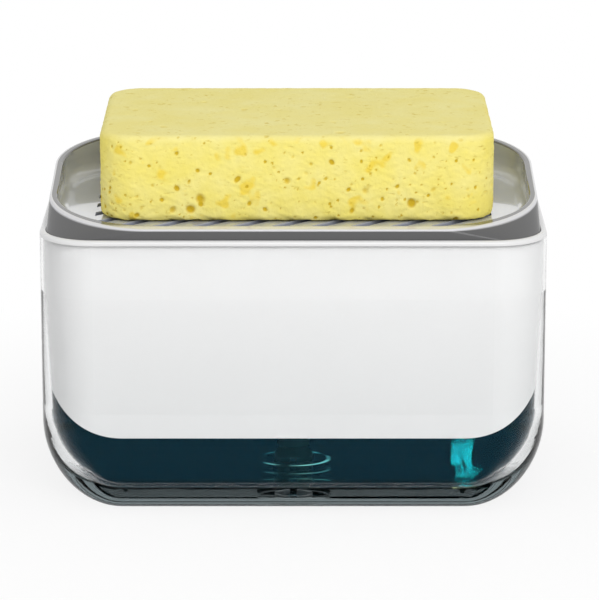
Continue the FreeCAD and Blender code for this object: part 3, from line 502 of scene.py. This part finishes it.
def outline_columns(flat_x, flat_y, corner, pitch):
    """Round a rounded rectangle, counter-clockwise from above: for each column its share of the flat
    half-lengths in x and y, and its outward direction, as an array of four values."""
    spans = [(1, 0, flat_y), (0, 1, flat_x), (-1, 0, flat_y), (0, -1, flat_x)]
    blocks = []
    for normal_x, normal_y, half in spans:
        share = np.linspace(-1, 1, max(2, int(2 * half / pitch)), endpoint=False)
        share_x = normal_x - normal_y * share
        share_y = normal_y + normal_x * share
        blocks.append(np.stack([share_x, share_y, np.full_like(share, normal_x),
                                np.full_like(share, normal_y)], axis=1))
        start = math.atan2(normal_y, normal_x)
        steps = max(4, int(corner * math.pi / 2 / pitch))
        angle = np.linspace(start, start + math.pi / 2, steps, endpoint=False)
        corner_x = normal_x - normal_y
        corner_y = normal_y + normal_x
        blocks.append(np.stack([np.full_like(angle, corner_x), np.full_like(angle, corner_y),
                                np.cos(angle), np.sin(angle)], axis=1))
    return np.concatenate(blocks)


def block_profile(height, reach, edge, pitch):
    """From the middle of the underside to the middle of the top: inset from the side, height,
    and the share of the normal that points outwards and upwards."""
    flat = np.linspace(0, 1, int((reach - edge) / pitch) + 1)
    turn = np.linspace(0, math.pi / 2, 2 + int(edge * math.pi / 2 / pitch))[1:-1]
    rise = np.linspace(edge, height - edge, int((height - 2 * edge) / pitch) + 1)
    under = np.stack([reach + (edge - reach) * flat, 0 * flat, 0 * flat, 0 * flat - 1], axis=1)
    across, down = np.sin(turn), np.cos(turn)
    lower = np.stack([edge * (1 - across), edge * (1 - down), across, -down], axis=1)
    side = np.stack([0 * rise, rise, 0 * rise + 1, 0 * rise], axis=1)
    upper = lower[::-1] * (1, -1, 1, -1) + (0, height, 0, 0)
    over = under[::-1] * (1, 1, 1, -1) + (0, height, 0, 0)
    return np.concatenate([under, lower, side, upper, over])


WAVE_COUNT = 3


def wander(points, reach, length, generator):
    """Points moved along each axis by the sum of a few sine waves of random direction, length and phase,
    which turns balls into irregular cells."""
    waves = generator.normal(size=(3, WAVE_COUNT, 3)) * (2 * math.pi / length)
    phases = generator.random((3, WAVE_COUNT)) * 2 * math.pi
    shifts = np.sin(np.einsum("abc,nc->nab", waves, points) + phases)
    return points + reach / 2 * shifts.sum(axis=2)


# Random numbers for each lattice cell: three for the ball's place, one for its size, one for its chance
CELL_DRAWS = 5
# Share of the chance that the lowest cells have, and how much of it is lost up to the highest
LOW_CHANCE_SHARE = 1.9
CHANCE_LOSS_SHARE = 1.3
# Share of a ball's radius over which its mouth deepens
MOUTH_SHARE = 0.7


def ball_pores(points, normals, cell, sizes, chance, generator):
    """Depth of the round cells that a cut through foam opens: a ball in some of the lattice cells, at a
    jittered place, with the surface sunk along its normal to the ball's far wall; the deepest ball counts.
    Low cells hold a ball more often than high ones."""
    least, most = sizes
    low = points.min(axis=0) - 2 * cell
    height = np.ptp(points[:, 2])
    home = np.floor((points - low) / cell).astype(int)
    table = generator.random((*(home.max(axis=0) + 2), CELL_DRAWS))
    depth = np.zeros(len(points))
    for shift in np.ndindex(3, 3, 3):
        near = home + np.array(shift) - 1
        drawn = table[near[:, 0], near[:, 1], near[:, 2]]
        centre = low + (near + drawn[:, :3]) * cell
        raised = np.clip((centre[:, 2] - points[:, 2].min()) / height, 0, 1)
        open_here = drawn[:, 4] < chance * (LOW_CHANCE_SHARE - CHANCE_LOSS_SHARE * raised)
        radius = np.where(open_here, least + (most - least) * drawn[:, 3] ** 2, 0)
        offset = points - centre
        along = np.sum(offset * normals, axis=1)
        across = np.sum(offset ** 2, axis=1) - along ** 2
        half = np.sqrt(np.maximum(radius ** 2 - across, 0))
        inside = np.clip((half - np.abs(along)) / (MOUTH_SHARE * radius + MERGE_DISTANCE), 0, 1)
        depth = np.maximum(depth, (along + half) * inside)
    return depth


class SpongeLook(bpy.types.PropertyGroup):
    side: colour_value("Sides", "Colour of the cut sides", (0.96, 0.83, 0.20))
    side_pale: colour_value("Pale sides", "Colour of paler patches on the sides", (0.97, 0.87, 0.31))
    top: colour_value("Top", "Colour of the upper skin", (0.93, 0.83, 0.30))
    top_pale: colour_value("Pale top", "Colour of paler patches on the upper skin", (0.95, 0.87, 0.37))
    # Painted shade in the pores: golden where they open, dark in the deepest
    pore: colour_value("Pores", "Colour in the pores", (0.66, 0.46, 0.03))
    deep_pore_shade: colour_value("Deep pores", "Colour down in the deepest pores", (0.16, 0.10, 0.008))
    blotch: colour_value("Blotches", "Colour of the golden blotches on the sides", (0.93, 0.68, 0.05))
    blotch_size: length_value("Blotch size", "Size of the golden blotches on the sides", 5 * MM)
    blotch_strength: setting("Blotch strength", "How strongly the blotches show", 0.7)
    fleck_size: length_value("Fleck size", "Size of the fine flecks", 1.2 * MM)
    fleck_stretch: setting(
        "Fleck stretch", "Share of each axis that draws the flecks out", (0.55, 0.55, 1.3), subtype="XYZ")
    fleck_strength: setting("Fleck strength", "How strongly the flecks show", 0.5)
    patch_size: length_value("Patch size", "Size of the paler patches", 11 * MM)
    grain_size: length_value("Grain size", "Size of the surface grain", 0.9 * MM)
    grain_depth: length_value("Grain depth", "Depth of the surface grain", 0.22 * MM)
    pitch: length_value("Mesh pitch", "Spacing of the mesh on the sides and top", 0.36 * MM)
    corner: length_value("Corner", "Radius of the upright corners", 10 * MM)
    edge: length_value("Edge", "Radius of the upper and lower edges", 2 * MM)
    front_room: length_value(
        "Front room", "Part of the tray's front that the sponge leaves free", 4.2 * MM)
    wander_reach: length_value("Pore unevenness", "How far the pores' walls wander", 0.5 * MM)
    wander_length: length_value("Pore waves", "Length of the waves in the pores' walls", 14 * MM)
    pore_scale: length_value("Pore depth", "Depth that counts as a deep pore", 2.2 * MM)
    depth_share: setting("Open share", "Share of the cells' depth that is open", 0.55)
    crumb_depth: length_value("Crumb depth", "Unevenness of the cut sides", 0.16 * MM)
    crumb_length: length_value("Crumb length", "Length of the sides' unevenness", 5 * MM)
    top_share: setting("Top pores", "Share of their depth that pores keep on the upper skin", 0.3)
    seed: bpy.props.IntProperty(name="Seed", description="Start of the random draws", default=11)


# Lattice spacing, least and most radius, and chance of each kind of pore
PORE_KINDS = (
    (7 * MM, (1.0 * MM, 2.1 * MM), 0.62),
    (3.4 * MM, (0.5 * MM, 1.1 * MM), 0.60),
    (1.9 * MM, (0.3 * MM, 0.6 * MM), 0.55),
)


class CADDY_OT_sponge(bpy.types.Operator):
    """Lays the porous sponge on the tray"""

    bl_idname = "caddy.sponge"
    bl_label = "Sponge"

    def execute(self, context):
        look = context.scene.caddy_sponge
        low, high = box_of("sponge")
        low[1] += look.front_room
        half_x, half_y = ((high - low) / 2)[:2]
        columns = outline_columns(half_x - look.corner, half_y - look.corner, look.corner, look.pitch)
        profile = block_profile(high[2] - low[2], half_y, look.edge, look.pitch)
        inset = profile[:, :1]
        flat_x = half_x - np.maximum(look.corner, inset)
        flat_y = half_y - np.maximum(look.corner, inset)
        radius = np.maximum(look.corner - inset, 0)
        middle = (low + high) / 2
        x = middle[0] + columns[:, 0] * flat_x + columns[:, 2] * radius
        y = middle[1] + columns[:, 1] * flat_y + columns[:, 3] * radius
        z = low[2] + profile[:, 1:2] + 0 * x
        points = np.stack([x, y, z], axis=-1).reshape(-1, 3)
        normals = np.stack([columns[:, 2] * profile[:, 2:3], columns[:, 3] * profile[:, 2:3],
                            profile[:, 3:4] + 0 * x], axis=-1).reshape(-1, 3)
        generator = np.random.default_rng(look.seed)
        moved = wander(points, look.wander_reach, look.wander_length, generator)
        kinds = [ball_pores(moved, normals, *kind, generator) for kind in PORE_KINDS]
        skin = np.clip(normals[:, 2], 0, 1)
        kept = 1 - (1 - look.top_share) * skin
        openings = [depth / sizes[1] for depth, (_, sizes, _) in zip(kinds, PORE_KINDS)]
        opened = kept * np.max(openings, axis=0)
        crumbs = np.abs(wander(points, look.crumb_depth, look.crumb_length, generator) - points).max(axis=1)
        depth = kept * (look.depth_share * np.max(kinds, axis=0) + crumbs)
        points = points - normals * depth[:, None]
        faces = grid_faces(len(profile), len(columns))
        piece = piece_from("sponge_block", points, faces, foam(look), "sponge_block")
        # Where the pores open and how deep they are, for the painted shade in them
        keep_on_points(piece, "pore", np.clip(opened, 0, 1))
        keep_on_points(piece, "deep", np.clip(depth / look.pore_scale, 0, 1))
        keep_on_points(piece, "skin", skin)
        merge_points(piece)
        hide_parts("sponge")
        return {"FINISHED"}


# Tank, sleeve and soap

class TankLook(bpy.types.PropertyGroup):
    tint: colour_value("Tint", "Tint of the clear plastic", (0.985, 0.985, 0.985))
    ior: setting("IOR", "Refraction of the clear plastic", 1.49)
    wet_ior: setting("Wet IOR", "Refraction from the soap into the plastic", 1.007)
    middle: setting(
        "Middle", "A point inside the tank that the wetted faces look at", (0.0, 0.0, 0.04), subtype="XYZ")
    wet_height: length_value("Wet height", "Height up to which the soap wets the tank", 13 * MM)
    gloss: colour_value("Gloss", "Strength of straight-on reflections", (0.01, 0.01, 0.01))
    depth_colour: colour_value(
        "Depth colour", "Colour that thick plastic lets through", (0.06, 0.16, 0.18))
    depth_density: setting("Depth density", "Absorption for each metre of plastic", 22.0)
    wave_size: length_value("Wave size", "Size of the moulding's waves", 14 * MM)
    wave_depth: length_value("Wave depth", "Depth of the moulding's waves", 0.03 * MM)


class CADDY_OT_tank(bpy.types.Operator):
    """Gives the tank its clear plastic"""

    bl_idname = "caddy.tank"
    bl_label = "Tank"

    def execute(self, context):
        dress("tank", clear_plastic(context.scene.caddy_tank))
        return {"FINISHED"}


class SleeveLook(bpy.types.PropertyGroup):
    colour: colour_value("Colour", "Colour of the white plastic", (0.815, 0.815, 0.815))
    shade_share: setting("Shade", "Share of the colour that its darker clouds keep", 0.985)
    roughness: setting("Roughness", "Least roughness", 0.28)
    coat: setting("Coat", "Weight of the gloss on top", 0.25)
    coat_roughness: setting("Coat roughness", "Roughness of that gloss", 0.08)
    cloud_size: length_value("Cloud size", "Size of the clouds in its gloss", 30 * MM)
    grain_size: length_value("Grain size", "Size of the mould grain", 0.5 * MM)
    grain_depth: length_value("Grain depth", "Depth of the mould grain", 0.003 * MM)


class CADDY_OT_sleeve(bpy.types.Operator):
    """Gives the sleeve and the deck their white plastic"""

    bl_idname = "caddy.sleeve"
    bl_label = "White sleeve"

    def execute(self, context):
        finish = white_plastic(context.scene.caddy_sleeve)
        dress("white_sleeve", finish)
        dress("deck", finish)
        return {"FINISHED"}


class SoapLook(bpy.types.PropertyGroup):
    colour: colour_value("Colour", "Colour that the soap lets through", (0.0, 0.367, 0.45))
    density: setting("Density", "Absorption for each metre of soap", 80.0)
    cloud_colour: colour_value("Cloud colour", "Colour of the cloudiness at its skin", (0.15, 0.51, 0.66))
    clear_share: setting("Clear share", "Share of light that enters the soap", 0.96)
    gloss: colour_value("Gloss", "Strength of straight-on reflections", (0.01, 0.01, 0.01))
    # The ring values set a painted glint: emission round the sump, which no lamp lights
    ring_radius: length_value("Ring radius", "Radius of the glint round the sump", 10 * MM)
    ring_width: length_value("Ring width", "Half the width of that glint", 0.8 * MM)
    painted_glint_colour: colour_value("Ring colour", "Colour of that glint", (1.0, 0.6, 0.4))
    painted_glint_strength: setting("Ring strength", "Strength of that glint", 10.0)
    ior: setting("IOR", "Refraction of the soap", 1.36)
    well_radius: length_value("Well radius", "Reach of the solid's well round the pump", 8.6 * MM)
    ripple_size: length_value("Ripple size", "Size of the waves in its skin", 12 * MM)
    ripple_depth: length_value("Ripple depth", "Depth of the waves in its skin", 0.02 * MM)


def close_well(mesh, radius):
    """Takes out the faces of the round well that the pump stands in, which lie nearer to the upright axis
    than its radius, and closes the holes, so that the liquid surrounds the pump."""
    shell = bmesh.new()
    shell.from_mesh(mesh)
    bmesh.ops.remove_doubles(shell, verts=shell.verts, dist=WELD_DISTANCE)
    shell.faces.ensure_lookup_table()
    middles = np.array([face.calc_center_median()[:2] for face in shell.faces])
    well = np.flatnonzero(np.linalg.norm(middles, axis=1) < radius)
    bmesh.ops.delete(shell, geom=[shell.faces[index] for index in well], context="FACES")
    bmesh.ops.holes_fill(shell, edges=[edge for edge in shell.edges if edge.is_boundary])
    bmesh.ops.recalc_face_normals(shell, faces=shell.faces)
    shell.to_mesh(mesh)
    shell.free()


class CADDY_OT_soap(bpy.types.Operator):
    """Fills the tank with soap"""

    bl_idname = "caddy.soap"
    bl_label = "Soap"

    def execute(self, context):
        look = context.scene.caddy_soap
        mesh = NODES["liquid_soap"].data.copy()
        mesh.name = "soap_pool"
        close_well(mesh, look.well_radius)
        mesh.materials.clear()
        mesh.materials.append(soap_liquid(look))
        piece = bpy.data.objects.new("soap_pool", mesh)
        context.scene.collection.objects.link(piece)
        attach(piece, "base")
        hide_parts("liquid_soap")
        return {"FINISHED"}


class TrayLook(bpy.types.PropertyGroup):
    # The walls and the floor are tinted blue so that the sponge's yellow bounce light leaves them grey
    wall_colour: colour_value("Walls", "Colour of the walls inside the tray", (0.43, 0.46, 0.57))
    # Painted shade: the outer walls are a darker copy of the grey
    outer_shade_colour: colour_value("Outside", "Colour of the tray's outer walls", (0.11, 0.11, 0.112))
    # Painted light: the floor is a lighter copy of the grey, as if lit from above, and its blend runs that
    # light up the walls
    floor_lit_colour: colour_value("Floor", "Colour of the tray's floor", (0.63, 0.655, 0.735))
    floor_height: length_value("Floor height", "Height of the tray's floor", 78.9 * MM)
    floor_blend: length_value(
        "Floor blend", "Height in which the floor's grey turns into that of the walls", 6 * MM)
    roughness: setting("Roughness", "Least roughness", 0.10)
    coat_roughness: setting("Coat roughness", "Roughness of the gloss on top", 0.03)
    coat_loss: setting("Coat loss", "Share of that gloss that the outer walls lack", 0.8)
    ior: setting("IOR", "Refraction of the plastic", 1.49)
    specular: setting("Specular", "Strength of reflections under the gloss", 0.25)
    # Painted highlight: the rim's colour is a pale line along its outer edge
    rim_highlight_colour: colour_value("Rim", "Colour of the line along the rim", (0.72, 0.72, 0.75))
    rim_front: length_value("Front rim", "Height of the rim at the front", 79.4 * MM)
    rim_back: length_value("Back rim", "Height of the rim at the back", 89.5 * MM)
    rim_corner: length_value("Rim corner", "Radius of the rim's corners", 31 * MM)
    rim_width: length_value("Rim width", "Width of the pale line on the rim", 0.7 * MM)
    rim_line: length_value("Rim line", "Height of the pale line along the rim", 0.6 * MM)
    cloud_size: length_value("Cloud size", "Size of the clouds in its gloss", 25 * MM)
    grain_size: length_value("Grain size", "Size of the mould grain", 0.6 * MM)
    grain_depth: length_value("Grain depth", "Depth of the mould grain", 0.003 * MM)


class CADDY_OT_tray(bpy.types.Operator):
    """Gives the press tray its grey plastic"""

    bl_idname = "caddy.tray"
    bl_label = "Press tray"

    def execute(self, context):
        dress("press_tray", smoke_plastic(context.scene.caddy_tray))
        return {"FINISHED"}


# Pump

class SpringLook(bpy.types.PropertyGroup):
    wire: length_value("Wire", "Diameter of the spring's wire", 0.9 * MM)
    turns: setting("Turns", "Turns of the coil", 7.0)
    closed: setting("Closed turns", "Turns that lie close at each end", 0.8)
    pressed_share: setting(
        "Pressed share", "Share of its length that is left when the tray is down", 0.41)


def ease(share):
    """A smooth step from 0 to 1."""
    share = np.clip(share, 0, 1)
    return share * share * (3 - 2 * share)


# Steps in a turn, sides of the wire, and rise of a closed turn as a share of the wire
TURN_STEPS = 48
WIRE_SIDES = 16
CLOSED_RISE_SHARE = 1.03


def coil(low, high, radius, look):
    """A round wire along a helix whose pitch closes towards both ends: the height is the running sum of
    the pitch, and the wire's section stands square to the path."""
    steps = int(look.turns * TURN_STEPS) + 1
    turn = np.linspace(0, look.turns, steps)
    left_open = ease((turn - look.closed) / look.closed)
    open_share = left_open * left_open[::-1]
    closed_rise = look.wire * CLOSED_RISE_SHARE
    middle_rise = (high - low - closed_rise * look.turns) / np.trapz(open_share, turn)
    rise = closed_rise + middle_rise * open_share
    height = low + np.concatenate([[0], np.cumsum((rise[1:] + rise[:-1]) / 2 * np.diff(turn))])
    angle = 2 * math.pi * turn
    outward = np.stack([np.cos(angle), np.sin(angle), 0 * angle], axis=1)
    along = np.stack([-np.sin(angle) * radius, np.cos(angle) * radius, rise / (2 * math.pi)], axis=1)
    along = along / np.linalg.norm(along, axis=1, keepdims=True)
    upward = np.cross(outward, along)
    path = outward * radius + np.array([0, 0, 1]) * height[:, None]
    around = np.linspace(0, 2 * math.pi, WIRE_SIDES, endpoint=False)[:, None]
    section = np.cos(around) * outward[:, None, :] + np.sin(around) * upward[:, None, :]
    tube = path[:, None, :] + look.wire / 2 * section
    first, last = (np.repeat(end[:, None], WIRE_SIDES, axis=1) for end in (path[:1], path[-1:]))
    return np.concatenate([first, tube, last]).reshape(-1, 3), grid_faces(steps + 2, WIRE_SIDES)


# Colour and least roughness of the pump's finishes, and the nodes that have them
SPRING_STEEL = ("spring_steel", (0.60, 0.60, 0.61), 0.25)
VALVE_STEEL = ("valve_steel", (0.66, 0.66, 0.67), 0.12)
VALVE_BALLS = ("inlet_ball", "outlet_ball")
PUMP_PLASTICS = {
    ("pump_plastic", (0.80, 0.80, 0.79), 0.35):
        ("pump_barrel", "pump_collar", "stem_guide", "spring_seat", "piston_stem", "outlet_nozzle"),
    ("piston_plastic", (0.62, 0.66, 0.68), 0.4): ("piston",),
    ("tube_plastic", (0.74, 0.76, 0.76), 0.3): ("dip_tube", "suction_foot"),
    ("seal_rubber", (0.05, 0.05, 0.055), 0.6): ("deck_seal", "collar_gasket", "stem_seal"),
}


class CADDY_OT_spring(bpy.types.Operator):
    """Winds the return spring under the pump's stem"""

    bl_idname = "caddy.spring"
    bl_label = "Return spring"

    def execute(self, context):
        look = context.scene.caddy_spring
        low, high = box_of("return_spring")
        radius = (high[0] - low[0] - look.wire) / 2
        points, faces = coil(low[2] + look.wire / 2, high[2] - look.wire / 2, radius, look)
        piece = piece_from("spring_coil", points, faces[:, ::-1], steel(*SPRING_STEEL), "deck_unit")
        merge_points(piece)
        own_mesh(piece)
        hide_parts("return_spring")
        return {"FINISHED"}


class CADDY_OT_pump(bpy.types.Operator):
    """Gives the pump's pieces their finishes"""

    bl_idname = "caddy.pump"
    bl_label = "Pump"

    def execute(self, context):
        finishes = [(plain_plastic(*values), nodes) for values, nodes in PUMP_PLASTICS.items()]
        finishes.append((steel(*VALVE_STEEL), VALVE_BALLS))
        for finish, nodes in finishes:
            for node in nodes:
                dress(node, finish)
        return {"FINISHED"}


# Stage

class StageLook(bpy.types.PropertyGroup):
    elevation: setting("Elevation", "Camera's height angle", math.radians(14.5), subtype="ANGLE")
    distance: length_value("Distance", "From the camera to its aim", 1.045)
    lens: setting("Lens", "Focal length", 219.4, unit="CAMERA")
    aim: setting(
        "Aim", "Point in the middle of the picture", (0.0017, 0.0, 0.0485), subtype="TRANSLATION")
    floor_size: length_value("Floor size", "Side of the floor", 8.0)
    floor_drop: length_value("Floor drop", "Air left under the tank's flat base", 0.4 * MM)
    floor_glow: setting("Floor glow", "Share of plain white on the floor beside the object", 0.8)
    shadow_reach: length_value("Shadow reach", "Distance at which the floor is plain white", 0.2)
    sky: setting("Sky", "Strength of the light from all round", 0.6)
    key_power: setting("Key", "Power of the main lamp", 7.6)
    panel_power: setting("Soap panel", "Power of the small panel that shines through the soap", 0.0034)


# Place, aim and size of the lamps, in metres
KEY_LAMP = ((0.3, -1.0, 0.9), (0, 0, 0.05), (0.9, 0.9))
SOAP_PANEL = ((0.0515, 0.072, 0.0212), (0.0495, 0, 0.0002), (0.008, 0.0085))
PANEL_SPREAD = math.radians(18)
PANEL_COLOUR = (1.0, 1.0, 0.5)
FLOOR_COLOUR = (0.92, 0.92, 0.92, 1.0)
# Share of the shadow's reach at which the floor starts to turn white
WHITE_START_SHARE = 0.2


def add_lamp(name, place, aim, size, power, spread=math.pi):
    """A flat lamp that looks at a point, with the width of its beam."""
    data = bpy.data.lights.new(name, "AREA")
    data.shape = "RECTANGLE"
    data.size, data.size_y = size
    data.energy = power
    data.spread = spread
    lamp = bpy.data.objects.new(name, data)
    lamp.location = place
    lamp.rotation_euler = (Vector(aim) - Vector(place)).to_track_quat("-Z", "Y").to_euler()
    bpy.context.scene.collection.objects.link(lamp)
    return lamp


def seen_directly(graph):
    """1 for rays that show the background to the camera, also through glass and in gloss."""
    rays = [graph.node("ShaderNodeLightPath", output=kind)
            for kind in ("Is Camera Ray", "Is Glossy Ray", "Is Transmission Ray")]
    return (rays[0] + rays[1] + rays[2]).at_most(1.0)


def floor_finish(look):
    """White floor that takes the object's shadow and turns into plain white further out: the share of white
    grows with the distance from the middle."""
    graph = new_graph("floor")
    plain = graph.node("ShaderNodeBsdfDiffuse", None, {"Color": FLOOR_COLOUR})
    glow = graph.node("ShaderNodeEmission", None, {"Strength": 1.0})
    distance = graph.vector("LENGTH", graph.place(), output="Value")
    stops = ((WHITE_START_SHARE, look.floor_glow), (1.0, 1.0))
    white = graph.ramp(distance * (1 / look.shadow_reach), *stops)
    shown = graph.node("ShaderNodeMixShader", None, {0: white * seen_directly(graph), 1: plain, 2: glow})
    return graph.finish(shown)


class CADDY_OT_stage(bpy.types.Operator):
    """Sets the floor, the lamps, the white surroundings and the camera"""

    bl_idname = "caddy.stage"
    bl_label = "Stage"

    def execute(self, context):
        look = context.scene.caddy_stage
        scene = context.scene
        scene.view_settings.view_transform = "Standard"
        half = look.floor_size / 2
        mesh = bpy.data.meshes.new("floor")
        level = -look.floor_drop
        corners = [(-half, -half, level), (half, -half, level), (half, half, level), (-half, half, level)]
        mesh.from_pydata(corners, [], [(0, 1, 2, 3)])
        mesh.materials.append(floor_finish(look))
        floor = bpy.data.objects.new("floor", mesh)
        scene.collection.objects.link(floor)

        world = bpy.data.worlds.new("surroundings")
        scene.world = world
        graph = Graph(world)
        strength = look.sky + (1.0 - look.sky) * seen_directly(graph)
        sky = graph.node("ShaderNodeBackground", None, {"Color": WHITE, "Strength": strength})
        graph.node("ShaderNodeOutputWorld", None, {"Surface": sky})

        add_lamp("key", *KEY_LAMP, look.key_power)
        panel = add_lamp("soap_panel", *SOAP_PANEL, look.panel_power, PANEL_SPREAD)
        panel.data.color = PANEL_COLOUR

        data = bpy.data.cameras.new("camera")
        data.sensor_width = SENSOR_WIDTH
        data.lens = look.lens
        camera = bpy.data.objects.new("camera", data)
        back = Vector((0, -math.cos(look.elevation), math.sin(look.elevation)))
        camera.location = Vector(look.aim) + back * look.distance
        camera.rotation_euler = (-back).to_track_quat("-Z", "Y").to_euler()
        scene.collection.objects.link(camera)
        scene.camera = camera
        return {"FINISHED"}


STEPS = (CADDY_OT_tank, CADDY_OT_sleeve, CADDY_OT_soap, CADDY_OT_tray, CADDY_OT_sponge, CADDY_OT_spring,
         CADDY_OT_pump, CADDY_OT_stage)
LOOKS = {
    "caddy_tank": TankLook,
    "caddy_sleeve": SleeveLook,
    "caddy_soap": SoapLook,
    "caddy_tray": TrayLook,
    "caddy_sponge": SpongeLook,
    "caddy_spring": SpringLook,
    "caddy_stage": StageLook,
}


class CADDY_PT_steps(bpy.types.Panel):
    """Lists the caddy's pieces"""

    bl_idname = "CADDY_PT_steps"
    bl_label = "Soap pump caddy"
    bl_space_type = "VIEW_3D"
    bl_region_type = "UI"
    bl_category = "Caddy"

    def draw(self, context):
        for step in STEPS:
            self.layout.operator(step.bl_idname)
        for name, group in LOOKS.items():
            box = self.layout.box()
            box.label(text=name)
            for prop in group.__annotations__:
                box.prop(getattr(context.scene, name), prop)


def register():
    for group in LOOKS.values():
        bpy.utils.register_class(group)
    for step in STEPS:
        bpy.utils.register_class(step)
    bpy.utils.register_class(CADDY_PT_steps)
    for name, group in LOOKS.items():
        setattr(bpy.types.Scene, name, bpy.props.PointerProperty(type=group))


def unregister():
    for name in LOOKS:
        delattr(bpy.types.Scene, name)
    bpy.utils.unregister_class(CADDY_PT_steps)
    for item in (*STEPS, *LOOKS.values()):
        bpy.utils.unregister_class(item)


def main():
    register()
    for step in STEPS:
        group, name = step.bl_idname.split(".")
        getattr(getattr(bpy.ops, group), name)()


if __name__ == "__main__":
    main()
